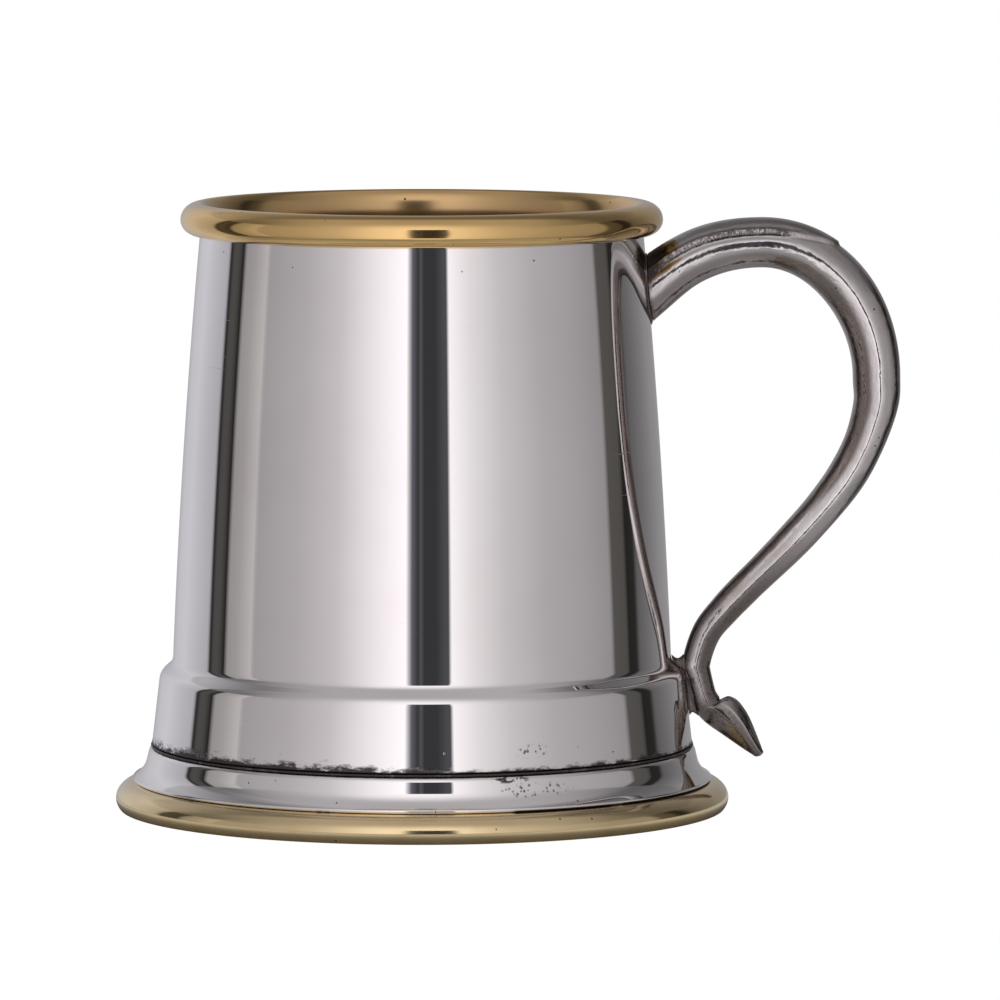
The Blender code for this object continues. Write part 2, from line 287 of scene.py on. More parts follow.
class Finish:
    """A material made from nodes."""

    name: str = "finish"

    def paint(self, canvas: Canvas) -> Surface:
        """Write the finish on a canvas."""
        raise NotImplementedError

    def material(self) -> bpy.types.Material:
        """Make the material.

        Returns:
            A material with this finish.
        """
        material = bpy.data.materials.new(self.name)
        material.use_nodes = True
        shader = material.node_tree.nodes["Principled BSDF"]
        surface = self.paint(Canvas(material.node_tree))
        links = material.node_tree.links
        links.new(surface.colour.socket, shader.inputs["Base Color"])
        links.new(surface.roughness.socket, shader.inputs["Roughness"])
        links.new(surface.normal.socket, shader.inputs["Normal"])
        shader.inputs["Metallic"].default_value = surface.metallic
        return material


@dataclass(frozen=True)
class Scuff:
    """A pitted patch on the front of the mug."""

    x: float
    z: float
    wide: float
    high: float
    chipped: float = 0.0
    core: float = 0.2
    front_from: float = -0.010
    front_full: float = -0.020

    def mask(self, canvas: Canvas, place: Field) -> Field:
        """Share of the patch.

        Args:
            canvas: canvas of the finish.
            place: place on the mug.

        Returns:
            1 at the patch's middle, 0 outside it and on the mug's back.
        """
        x, y, z = canvas.split(place)
        across = (x - self.x) / self.wide
        rise = (z - self.z) / self.high
        on_front = y.eased(self.front_from, self.front_full)
        return (across * across + rise * rise).eased(1.0, self.core) * on_front


@dataclass(frozen=True)
class PolishedPewter(Finish):
    """Mirror-polished pewter with hairlines, pits and oxide that creeps from a seam."""

    name: str = "polished_pewter"
    bright: Colour = (0.875, 0.858, 0.864)
    dulled: Colour = (0.840, 0.815, 0.820)
    inside: Colour = (0.700, 0.680, 0.672)
    film: Colour = (0.330, 0.300, 0.305)
    oxide: Colour = (0.085, 0.074, 0.078)
    gloss: float = 0.016
    inside_gloss: float = 0.26
    cloud_gloss: float = 0.020
    hairline_gloss: float = 0.020
    stain_gloss: float = 0.4
    scratch_gloss: float = 0.22
    film_share: float = 0.85
    dent_depth: float = 0.000012
    hairline_depth: float = 0.0000004
    stain_depth: float = 0.00002
    dents: float = 30.0
    clouds: float = 38.0
    hairlines: Scale = (90.0, 90.0, 5200.0)
    scratches: Scale = (70.0, 70.0, 2600.0)
    rags: Scale = (230.0, 230.0, 520.0)
    grains: Scale = (900.0, 900.0, 1500.0)
    chips: Scale = (500.0, 500.0, 1300.0)
    seam_z: float = 0.012
    creep: float = 0.0034
    creep_left: tuple[float, float] = (0.010, -0.045)
    lip_z: float = 0.0053
    pit_high_z: float = 0.1058
    scuffs: tuple[Scuff, ...] = (
        Scuff(0.0006, 0.0108, 0.0042, 0.0008, 1.0),
        Scuff(0.0046, 0.0156, 0.0034, 0.0017),
        Scuff(0.0050, 0.0088, 0.0080, 0.0016),
    )

    def paint(self, canvas: Canvas) -> Surface:
        """Write the finish on a canvas.

        Args:
            canvas: canvas of the material.

        Returns:
            Colour, roughness and normal.
        """
        place = canvas.place()
        inside = canvas.attribute("inside")
        cloud = canvas.noise(place, self.clouds, 3.0)
        hairline = canvas.noise(canvas.stretched(place, self.hairlines), 1.0, 3.0, 0.6)
        scratch = canvas.noise(canvas.stretched(place, self.scratches), 1.0, 2.0).eased(0.70, 0.76)
        ragged = canvas.noise(canvas.stretched(place, self.rags), 1.0, 5.0, 0.66)
        film, oxide = self._creep(canvas, place, ragged)
        stain = oxide.most(self._pits(canvas, place, ragged))
        metal = canvas.mix(cloud.eased(0.35, 0.75), self.bright, self.dulled)
        metal = canvas.mix(inside, metal, self.inside)
        metal = canvas.mix(film * self.film_share, metal, self.film)
        colour = canvas.mix(stain, metal, self.oxide)
        roughness = self.gloss + inside * self.inside_gloss
        roughness += self.cloud_gloss * cloud.eased(0.45, 0.8)
        roughness += self.hairline_gloss * hairline.eased(0.55, 0.8)
        roughness += self.stain_gloss * stain.most(film * 0.5)
        roughness += self.scratch_gloss * scratch * cloud.eased(0.40, 0.60)
        normal = canvas.bump(canvas.noise(place, self.dents, 1.0), self.dent_depth)
        normal = canvas.bump(hairline, self.hairline_depth, normal)
        normal = canvas.bump(1.0 - stain, self.stain_depth, normal)
        return Surface(colour, roughness, normal)

    def _creep(self, canvas: Canvas, place: Field, ragged: Field) -> tuple[Field, Field]:
        """Oxide that creeps up from the seam, most on the left, and chips the foot's lip.

        Args:
            canvas: canvas of the material.
            place: place on the mug.
            ragged: noise of its upper edge.

        Returns:
            Share of the thin film, and share of the dark oxide.
        """
        across, _, height = canvas.split(place)
        spread = canvas.noise(place, 22.0, 1.0).eased(0.30, 0.68)
        uneven = 0.15 + 0.35 * spread + 0.75 * across.eased(*self.creep_left)
        reach = self.creep * (ragged * 1.9 - 0.62) * uneven
        above = height - self.seam_z
        below = above.eased(-0.0004, -0.0001)
        fine = canvas.noise(canvas.stretched(place, self.grains), 1.0, 3.0, 0.6)
        film = above.eased(reach * 1.25 + 0.00045, reach - 0.00010) * fine.eased(0.36, 0.52) * below
        oxide = above.eased(reach * 0.85 + 0.00024, reach * 0.65 - 0.00010) * below
        at_lip = height.eased(self.lip_z + 0.00036, self.lip_z + 0.00012)
        return film, oxide.most(at_lip * (ragged + spread).eased(0.95, 1.15))

    def _pits(self, canvas: Canvas, place: Field, ragged: Field) -> Field:
        """Pits near the seam and the rim, and the scuffed patches.

        Args:
            canvas: canvas of the material.
            place: place on the mug.
            ragged: noise that thins the patches.

        Returns:
            Share of the pits.
        """
        height = canvas.split(place)[2]
        near_seam = (height - self.seam_z).eased(0.009, 0.0) * 0.6
        near_rim = height.eased(self.pit_high_z - 0.006, self.pit_high_z - 0.0005)
        pits = canvas.specks(place, 620.0, 0.14, 0.10) * near_seam.most(near_rim).eased(0.2, 0.55)
        speckle = canvas.specks(place, 1500.0, 0.50, 0.50) * ragged.eased(0.34, 0.50) * 0.8
        chip = canvas.noise(canvas.stretched(place, self.chips), 1.0, 3.0, 0.6).eased(0.53, 0.57)
        for scuff in self.scuffs:
            pits = pits.most(scuff.mask(canvas, place) * speckle.most(chip * scuff.chipped))
        return pits


@dataclass(frozen=True)
class Brass(Finish):
    """Brass ring with fine turning lines, tarnish and specks."""

    name: str = "polished_brass"
    bright: Colour = (0.840, 0.575, 0.245)
    tarnished: Colour = (0.620, 0.430, 0.215)
    inside: Colour = (0.560, 0.380, 0.190)
    speck: Colour = (0.100, 0.070, 0.040)
    gloss: float = 0.07
    inside_gloss: float = 0.11
    cloud_gloss: float = 0.05
    line_gloss: float = 0.04
    speck_gloss: float = 0.3
    tarnish_share: float = 0.5
    line_depth: float = 0.0000006
    speck_depth: float = 0.00005
    lines: Scale = (50.0, 50.0, 7000.0)
    clouds: float = 60.0

    def paint(self, canvas: Canvas) -> Surface:
        """Write the finish on a canvas.

        Args:
            canvas: canvas of the material.

        Returns:
            Colour, roughness and normal.
        """
        place = canvas.place()
        inside = canvas.attribute("inside")
        lines = canvas.noise(canvas.stretched(place, self.lines), 1.0, 3.0, 0.6)
        cloud = canvas.noise(place, self.clouds, 3.0, 0.6)
        specks = canvas.specks(place, 520.0, 0.12, 0.07)
        metal = canvas.mix(cloud.eased(0.45, 0.85) * self.tarnish_share, self.bright, self.tarnished)
        metal = canvas.mix(inside, metal, self.inside)
        colour = canvas.mix(specks, metal, self.speck)
        roughness = self.gloss + self.cloud_gloss * cloud + self.line_gloss * lines.eased(0.5, 0.8)
        roughness += inside * self.inside_gloss + specks * self.speck_gloss
        normal = canvas.bump(lines, self.line_depth)
        normal = canvas.bump(1.0 - specks, self.speck_depth, normal)
        return Surface(colour, roughness, normal)


@dataclass(frozen=True)
class CastPewter(Finish):
    """Cast pewter, hand polished along its length, pitted and stained at the joints, with painted glints
    along the strap's ridge and painted shade on its sides.
    """

    name: str = "cast_pewter"
    bright: Colour = (0.790, 0.760, 0.762)
    dulled: Colour = (0.450, 0.420, 0.415)
    warm: Colour = (0.480, 0.395, 0.320)
    # brown of the patina and of the painted shade
    patina_shade_brown: Colour = (0.232, 0.198, 0.182)
    oxide: Colour = (0.070, 0.056, 0.052)
    gloss: float = 0.08
    cloud_gloss: float = 0.10
    streak_gloss: float = 0.06
    oxide_gloss: float = 0.35
    streak_share: float = 0.45
    warm_share: float = 0.45
    painted_glint: float = 0.75
    hollow_dark: float = 0.45
    strap_edge_shade: float = 0.40
    dent_depth: float = 0.00022
    ripple_depth: float = 0.00010
    streak_depth: float = 0.0000035
    pitted_depth: float = 0.00016
    pit_depth: float = 0.00005
    dents: Scale = (110.0, 180.0, 180.0)
    ripples: Scale = (420.0, 700.0, 700.0)
    streaks: Scale = (40.0, 1500.0, 1500.0)
    bands: Scale = (18.0, 260.0, 260.0)

    def paint(self, canvas: Canvas) -> Surface:
        """Write the finish on a canvas.

        Args:
            canvas: canvas of the material.

        Returns:
            Colour, roughness and normal.
        """
        run = canvas.attribute("run", "Vector")
        stain = canvas.attribute("stain")
        ridge = canvas.attribute("ridge")
        worn = canvas.attribute("worn")
        streak = canvas.noise(canvas.stretched(run, self.streaks), 1.0, 3.0, 0.6)
        band = canvas.noise(canvas.stretched(run, self.bands), 1.0, 2.0)
        cloud = canvas.noise(run, 150.0, 3.0, 0.6)
        pitted = canvas.noise(run, 1700.0, 3.0, 0.7)
        ragged = canvas.noise(run, 700.0, 4.0, 0.7)
        pits = canvas.specks(run, 700.0, 0.16, 0.16) * cloud.eased(0.45, 0.6)
        oxide = (stain + (ragged - 0.5) * 0.9 * stain.eased(0.02, 0.3)).eased(0.35, 0.75)
        hollow = ridge * pitted.eased(0.52, 0.44) * self.hollow_dark
        # dark mottle of the lower darkening, which is left off where highlights are painted
        mottle = worn * (0.28 + 0.40 * canvas.noise(run, 1300.0, 3.0, 0.65).eased(0.52, 0.66))
        # the crease attribute is a painted shade line just below the strap's edge
        crease = canvas.attribute("crease") * self.strap_edge_shade
        dark = oxide.most(pits).most(mottle).most(hollow).most(crease)
        metal = canvas.mix(band.eased(0.35, 0.75), self.bright, self.dulled)
        metal = canvas.mix(streak.eased(0.55, 0.8) * self.streak_share, metal, self.dulled)
        metal = canvas.mix(cloud.eased(0.56, 0.78) * self.warm_share, metal, self.warm)
        # brown patina on the strap, a painted dark reflection on the root's top, and painted shade on the
        # inner and outer side
        metal = canvas.mix(canvas.attribute("age") * (0.8 + 0.4 * band), metal, self.patina_shade_brown)
        # painted glints: the ridge's raised grains are mixed towards the bright metal
        metal = canvas.mix(ridge * pitted.eased(0.47, 0.58) * self.painted_glint, metal, self.bright)
        colour = canvas.mix(dark, metal, self.oxide)
        roughness = self.gloss + self.cloud_gloss * cloud.eased(0.35, 0.8)
        roughness += self.streak_gloss * streak + self.oxide_gloss * oxide
        normal = canvas.bump(canvas.noise(canvas.stretched(run, self.dents), 1.0, 1.0), self.dent_depth)
        ripple = canvas.noise(canvas.stretched(run, self.ripples), 1.0, 2.0)
        normal = canvas.bump(ripple, self.ripple_depth, normal)
        normal = canvas.bump(streak, self.streak_depth, normal)
        normal = canvas.bump(pitted * ridge.most(stain * 0.5).most(worn * 0.25), self.pitted_depth, normal)
        normal = canvas.bump(1.0 - pits, self.pit_depth, normal)
        return Surface(colour, roughness, normal)


@dataclass(frozen=True)
class OxidisedSolder(Finish):
    """Dull dark solder."""

    name: str = "oxidised_solder"
    dark: Colour = (0.085, 0.074, 0.073)
    scuffed: Colour = (0.260, 0.225, 0.215)
    gloss: float = 0.46
    scuff_gloss: float = 0.18
    crust_depth: float = 0.00010

    def paint(self, canvas: Canvas) -> Surface:
        """Write the finish on a canvas.

        Args:
            canvas: canvas of the material.

        Returns:
            Colour, roughness and normal.
        """
        place = canvas.place()
        crust = canvas.noise(place, 900.0, 4.0, 0.65)
        scuff = canvas.noise(place, 300.0, 3.0, 0.6).eased(0.52, 0.78)
        colour = canvas.mix(scuff, self.dark, self.scuffed)
        roughness = self.gloss - self.scuff_gloss * scuff
        return Surface(colour, roughness, canvas.bump(crust, self.crust_depth))


def link(mesh: bpy.types.Mesh, finish: bpy.types.Material, node: str) -> bpy.types.Object:
    """Put a mesh into the scene in place of a solid.

    Args:
        mesh: finished mesh in the frame of the solids.
        finish: its material.
        node: solid that it stands for.

    Returns:
        The new piece.
    """
    mesh.materials.append(finish)
    piece = bpy.data.objects.new(node + "_dressed", mesh)
    bpy.context.scene.collection.objects.link(piece)
    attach(piece, BODY)
    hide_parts(node)
    log.info("%s: %d faces", piece.name, len(mesh.polygons))
    return piece


def set_attribute(mesh: bpy.types.Mesh, name: str, values: Sequence[float]) -> None:
    """Store one number for each point of a mesh."""
    mesh.attributes.new(name, "FLOAT", "POINT").data.foreach_set("value", values)


def arc(
    centre: tuple[float, float],
    across: float,
    up: float,
    start: float,
    end: float,
    steps: int,
    squareness: float = 2.0,
) -> Profile:
    """Points of an elliptic arc.

    Args:
        centre: radius and height of its centre.
        across: half width.
        up: half height.
        start: first angle in degrees, from the outward direction.
        end: last angle in degrees.
        steps: number of facets.
        squareness: 2 for a plain ellipse, more for a flatter face.

    Returns:
        The points, with both ends.
    """
    points = []
    power = 2.0 / squareness
    for i in range(steps + 1):
        angle = math.radians(start + (end - start) * i / steps)
        out = math.copysign(abs(math.cos(angle)) ** power, math.cos(angle))
        rise = math.copysign(abs(math.sin(angle)) ** power, math.sin(angle))
        points.append((centre[0] + across * out, centre[1] + up * rise))
    return points


@dataclass(frozen=True)
class Lathe:
    """Turns closed profiles about the barrel's axis."""

    axis_x: float
    segments: int = 288
    crease: float = math.radians(40.0)

    def turn(
        self,
        name: str,
        profile: Profile,
        inside: Optional[Callable[[float, float], float]] = None,
        wobble: Optional[Wobble] = None,
    ) -> bpy.types.Mesh:
        """Turn a profile into a closed mesh.

        Args:
            name: name of the mesh.
            profile: (radius, height) points; points on the axis close a disc.
            inside: share of the inside finish at a radius and height.
            wobble: shift in radius and height at an angle, radius and height.

        Returns:
            The mesh.
        """
        shape = bmesh.new()
        rows: list[list[bmesh.types.BMVert]] = []
        for r, z in profile:
            count = self.segments if r > 0.0 else 1
            rows.append([self._point(shape, r, z, i, wobble) for i in range(count)])
        for one, two in zip(rows, rows[1:] + rows[:1]):
            self._skin(shape, one, two)
        bmesh.ops.recalc_face_normals(shape, faces=shape.faces[:])
        mesh = bpy.data.meshes.new(name)
        shape.to_mesh(mesh)
        shape.free()
        mesh.shade_smooth()
        mesh.set_sharp_from_angle(angle=self.crease)
        shares = []
        for r, z in profile:
            share = inside(r, z) if inside else 0.0
            shares += [share] * (self.segments if r > 0.0 else 1)
        set_attribute(mesh, "inside", shares)
        return mesh

    def _point(
        self, shape: bmesh.types.BMesh, r: float, z: float, i: int, wobble: Optional[Wobble],
    ) -> bmesh.types.BMVert:
        """Add one point of a turned row.

        Args:
            shape: mesh in the making.
            r: radius of the row.
            z: height of the row.
            i: number of the point in its row.
            wobble: shift in radius and height, if any.

        Returns:
            The new point.
        """
        angle = 2 * math.pi * i / self.segments
        if wobble and r > 0.0:
            dr, dz = wobble(angle, r, z)
            r, z = r + dr, z + dz
        return shape.verts.new((self.axis_x + r * math.cos(angle), r * math.sin(angle), z))

    @staticmethod
    def _skin(shape: bmesh.types.BMesh, one: list, two: list) -> None:
        """Join two rows.

        Args:
            shape: mesh in the making.
            one: points of the first row, or one point on the axis.
            two: points of the second row, or one point on the axis.
        """
        if len(one) == 1 and len(two) == 1:
            return
        count = max(len(one), len(two))
        for i in range(count):
            j = (i + 1) % count
            corners = [one[i % len(one)], one[j % len(one)], two[j % len(two)], two[i % len(two)]]
            shape.faces.new(list(dict.fromkeys(corners)))


@dataclass
class Barrel:
    """Spun tube with a stepped lower band, and the disc inside its bottom."""

    low_z: float
    top_z: float
    top_r: float = 0.0409
    wall: float = 0.0017
    taper: float = 0.0052
    swell: float = 0.0005
    band_h: float = 0.0120
    band_flare: float = 0.0014
    step_out: float = 0.00255
    step_slope: float = 49.0
    step_rise: float = 0.36
    step_fall: float = 0.56
    low_round: float = 0.00035
    wall_steps: int = 60
    step_steps: int = 40
    band_steps: int = 24
    low_steps: int = 6
    gap: float = 0.0003
    floor_low_z: float = 0.0132
    floor_t: float = 0.0018
    floor_bevel: float = 0.0004
    floor_bevel_h: float = 0.0003
    floor_fillet: float = 0.0016
    fillet_round: float = 0.97
    fillet_arc: tuple[float, float] = (-8.0, -82.0)
    fillet_steps: int = 10

    def __post_init__(self) -> None:
        """Work out the profile of the outer face, from the top edge down."""
        self.band_top_z = self.low_z + self.band_h
        step = self._step()
        self.step_top_z = step[0][1]
        self.face: Profile = []
        length = self.top_z - self.step_top_z
        for i in range(self.wall_steps):
            share = i / self.wall_steps
            r = self.top_r + self.taper * share + 4 * self.swell * share * (1 - share)
            self.face.append((r, self.top_z - length * share))
        self.face += step
        band_r, band_z = step[-1]
        for i in range(1, self.band_steps + 1):
            share = i / self.band_steps
            self.face.append((band_r + self.band_flare * share, band_z - self.band_h * share))

    def _step(self) -> Profile:
        """Hollow, slope and wide shoulder between the taper and the band.

        Returns:
            The points of the step, from the taper down to the band.
        """
        wall_tilt = math.atan2(self.taper - 4 * self.swell, self.top_z - self.band_top_z)
        band_tilt = math.atan2(self.band_flare, self.band_h)
        peak = math.radians(self.step_slope)
        tilts = []
        for i in range(self.step_steps):
            share = (i + 0.5) / self.step_steps
            if share < self.step_rise:
                tilts.append(wall_tilt + (peak - wall_tilt) * share / self.step_rise)
            else:
                past = max(share - self.step_fall, 0.0) / (1.0 - self.step_fall)
                tilts.append(peak + (band_tilt - peak) * past)
        out = sum(math.sin(t) for t in tilts)
        pace = self.step_out / out
        points = [(self.top_r + self.taper, 0.0)]
        for tilt in tilts:
            r, z = points[-1]
            points.append((r + pace * math.sin(tilt), z - pace * math.cos(tilt)))
        lift = self.band_top_z - points[-1][1]
        return [(r, z + lift) for r, z in points]

    def radius(self, z: float) -> float:
        """Outer radius at a height.

        Args:
            z: height above the table.

        Returns:
            Radius of the outer face.
        """
        for (r0, z0), (r1, z1) in zip(self.face, self.face[1:]):
            if z0 >= z >= z1:
                return r0 + (r1 - r0) * (z0 - z) / (z0 - z1)
        return self.face[0][0] if z > self.top_z else self.face[-1][0]

    def build(self, lathe: Lathe, finish: bpy.types.Material, solder: bpy.types.Material) -> None:
        """Build and dress the tube, its floor and the solder fillet round it.

        Args:
            lathe: lathe on the barrel's axis.
            finish: pewter of the tube and its floor.
            solder: finish of the fillet.
        """
        low = self.low_round
        corner_at = (self.face[-1][0] - low, self.low_z + low)
        corner = arc(corner_at, low, low, 0, -90, self.low_steps)
        outer = [(r, z) for r, z in self.face if z > corner_at[1]] + corner
        inner = [(r - self.wall, z) for r, z in reversed(self.face)]
        face = set(outer)
        mesh = lathe.turn("barrel", outer + inner, lambda r, z: 0.0 if (r, z) in face else 1.0)
        link(mesh, finish, "barrel")
        top_z = self.floor_low_z + self.floor_t
        edge_r = self.radius(top_z) - self.wall - self.gap
        disc = [(0.0, top_z), (edge_r * 0.5, top_z), (edge_r - self.floor_bevel, top_z)]
        disc += [(edge_r, top_z - self.floor_bevel_h), (edge_r, self.floor_low_z), (0.0, self.floor_low_z)]
        link(lathe.turn("drinking_floor", disc, lambda r, z: 1.0), finish, "drinking_floor")
        self._fillet(lathe, solder, top_z + self.gap)

    def _fillet(self, lathe: Lathe, solder: bpy.types.Material, low_z: float) -> None:
        """Build the hollow solder fillet between the floor and the wall.

        Args:
            lathe: lathe on the barrel's axis.
            solder: finish of the fillet.
            low_z: height of its underside.
        """
        size = self.floor_fillet
        corner_r = self.radius(low_z) - self.wall - self.gap
        top_r = self.radius(low_z + size) - self.wall - self.gap
        bend = size * self.fillet_round
        hollow = arc((top_r - size, low_z + size), bend, bend, *self.fillet_arc, self.fillet_steps)
        profile = [(top_r, low_z + size)] + hollow + [(corner_r - size, low_z), (corner_r, low_z)]
        link(lathe.turn("floor_solder", profile), solder, "floor_solder")


@dataclass
class RimRing:
    """Half-round brass ring over the barrel's top edge."""

    barrel: Barrel
    crest_z: float
    outer_r: float
    lip: float = 0.0004
    waist: float = 0.0028
    crest_out: float = 0.0002
    ease: float = 0.0044
    gap: float = 0.0003
    squareness: float = 2.05
    steps: int = 32
    ease_steps: int = 24
    wall_steps: int = 4

    def build(self, lathe: Lathe, finish: bpy.types.Material) -> None:
        """Build and dress the ring.

        Args:
            lathe: lathe on the barrel's axis.
            finish: brass of the ring.
        """
        lip_z = self.barrel.top_z - self.lip
        widest_z = lip_z + self.waist
        rebate_r = self.barrel.radius(lip_z) + self.gap
        inner_r = self.barrel.top_r - self.barrel.wall
        crest_r = self.barrel.top_r + self.crest_out
        crown_size = (self.outer_r - crest_r, self.crest_z - widest_z)
        crown = arc((crest_r, widest_z), *crown_size, 90, 0, self.steps, self.squareness)
        under_size = (self.outer_r - rebate_r, self.waist)
        under = arc((rebate_r, widest_z), *under_size, 0, -90, self.steps, self.squareness)
        ease_z = self.crest_z - self.ease
        ease_in = arc((crest_r, ease_z), crest_r - inner_r, self.ease, 180, 90, self.ease_steps)
        seat_z = self.barrel.top_z + self.gap
        rise = (ease_z - seat_z) / self.wall_steps
        wall = [(inner_r, seat_z + rise * i) for i in range(self.wall_steps + 1)]
        profile = crown + under[1:] + [(rebate_r, seat_z)] + wall + ease_in[1:-1]

        def inside(r: float, z: float) -> float:
            """Share of the inside finish, all of it at the bore."""
            return min(max((crest_r - r) / (crest_r - inner_r), 0.0), 1.0)

        link(lathe.turn("rim_ring", profile, inside), finish, "rim_ring")


@dataclass
class Foot:
    """Pewter cavetto skirt, the solder above it and the brass ring below it.

    The cavetto's tilts are pairs of a share of its height, from the top, and a
    slope in degrees from upright.
    """

    ring_outer_r: float
    seam_r: float
    barrel_low_z: float
    spigot_top_z: float
    neck_r: float = 0.0506
    lip_r: float = 0.0536
    seat_z: float = 0.01145
    lip_z: float = 0.00524
    ring_inner_r: float = 0.0516
    spigot_r: float = 0.0482
    gap: float = 0.0003
    seam_gap: float = 0.00008
    seam_round: float = 0.6
    seam_steps: int = 8
    seam_rough: float = 0.00012
    roll: float = 0.0009
    roll_steps: int = 10
    lip_round: float = 0.0004
    lip_top: float = 40.0
    lip_drop: float = 1.2
    lip_in: float = 0.36
    tilts: tuple[tuple[float, float], ...] = (
        (0.0, 30.0),
        (0.08, 13.0),
        (0.40, 12.4),
        (0.46, 16.0),
        (0.62, 28.0),
        (0.80, 42.0),
        (0.92, 51.0),
        (1.0, 55.0),
    )
    wall: float = 0.0016
    skirt_lift: float = 0.0008
    section_r: float = 0.0044
    section_z: float = 0.0019
    section_h: float = 0.00335
    section_steps: int = 48
    steps: int = 40

    def build(
        self,
        lathe: Lathe,
        pewter: bpy.types.Material,
        brass: bpy.types.Material,
        solder: bpy.types.Material,
    ) -> None:
        """Build and dress the skirt, the ring and the seam.

        Args:
            lathe: lathe on the barrel's axis.
            pewter: finish of the skirt.
            brass: finish of the ring.
            solder: finish of the seam.
        """
        link(lathe.turn("foot", self._skirt()), pewter, "foot")
        link(lathe.turn("foot_ring", self._ring()), brass, "foot_ring")
        mesh = lathe.turn("foot_solder", self._seam(), wobble=self._ragged)
        link(mesh, solder, "foot_solder")

    def _seam(self) -> Profile:
        """Solder bead between the foot's seat and the barrel.

        Returns:
            The closed profile.
        """
        low_z = self.seat_z + self.seam_gap
        top_z = self.barrel_low_z - self.seam_gap
        half = (top_z - low_z) / 2
        depth = half * self.seam_round
        bead = arc((self.seam_r - depth, (low_z + top_z) / 2), depth, half, 90, -90, self.seam_steps)
        inner_r = self.spigot_r + self.gap
        return bead + [(inner_r, low_z), (inner_r, top_z)]

    def _ragged(self, angle: float, r: float, z: float) -> tuple[float, float]:
        """Uneven face of the solder seam.

        Args:
            angle: angle round the axis.
            r: radius of the point, not used.
            z: height of the point.

        Returns:
            Shift in radius and height.
        """
        spot = Vector((math.cos(angle) * 60.0, math.sin(angle) * 60.0, z * 900.0))
        return self.seam_rough * (noise.noise(spot) - 1.0), 0.0

    def _skirt(self) -> Profile:
        """Spigot, seat, top roll, cavetto, rounded lip and hidden skirt.

        Returns:
            The closed profile.
        """
        roll_at = (self.neck_r - self.roll, self.seat_z - self.roll)
        roll = arc(roll_at, self.roll, self.roll, 90, self.tilts[0][1], self.roll_steps)
        pace = (roll[-1][1] - self.lip_z - self.lip_round * self.lip_drop) / self.steps
        hollow = [roll[-1]]
        for i in range(self.steps):
            r, z = hollow[-1]
            lean = math.radians(self._tilt((i + 0.5) / self.steps))
            hollow.append((r + math.tan(lean) * pace, z - pace))
        out = self.lip_r - self.lip_round * self.lip_in - hollow[-1][0]
        hollow = [(r + out * i / self.steps, z) for i, (r, z) in enumerate(hollow)][1:]
        lip_at = (self.lip_r - self.lip_round, self.lip_z + self.lip_round)
        edge = arc(lip_at, self.lip_round, self.lip_round, self.lip_top, -90, self.roll_steps)
        skirt_r = self.ring_inner_r - self.gap
        skirt_in = skirt_r - self.wall
        spigot_in = self.spigot_r - self.wall
        top = [(self.spigot_r, self.spigot_top_z), (self.spigot_r, self.seat_z)]
        hidden = [(skirt_r, self.lip_z), (skirt_r, self.skirt_lift)]
        hidden += [(skirt_in, self.skirt_lift), (skirt_in, self.lip_z)]
        inner = [(spigot_in, self.seat_z - self.wall), (spigot_in, self.spigot_top_z)]
        return top + roll + hollow + edge + hidden + inner

    def _tilt(self, share: float) -> float:
        """Slope of the cavetto.

        Args:
            share: share of its height, from the top.

        Returns:
            Slope in degrees from upright.
        """
        for (s0, t0), (s1, t1) in zip(self.tilts, self.tilts[1:]):
            if share <= s1:
                return t0 + (t1 - t0) * (share - s0) / (s1 - s0)
        return self.tilts[-1][1]

    def _ring(self) -> Profile:
        """Half-round section, flat on the table.

        Returns:
            The closed profile.
        """
        centre = (self.ring_outer_r - self.section_r, self.section_z)
        low = -math.degrees(math.asin(self.section_z / self.section_h))
        face = arc(centre, self.section_r, self.section_h, 90, low, self.section_steps)
        return face + [(self.ring_inner_r, 0.0), (self.ring_inner_r, self.section_z + self.section_h)]


def ease(share: float) -> float:
    """Ease from 0 to 1."""
    share = min(max(share, 0.0), 1.0)
    return share * share * (3 - 2 * share)


@dataclass(frozen=True)
class Fade:
    """An eased change that begins at a value and is complete a length further on."""

    start: float
    length: float

    def at(self, value: float) -> float:
        """Share of the change at a value."""
        return ease((value - self.start) / self.length)


@dataclass(frozen=True)
class Section:
    """One section of the handle.

    It has its centre, its half height towards the back, its half width, and the
    level and softness of the ridge along each side.
    """

    centre: Vector
    back: Vector
    wide: float
    apex: float = 0.0
    soft: float = 0.2


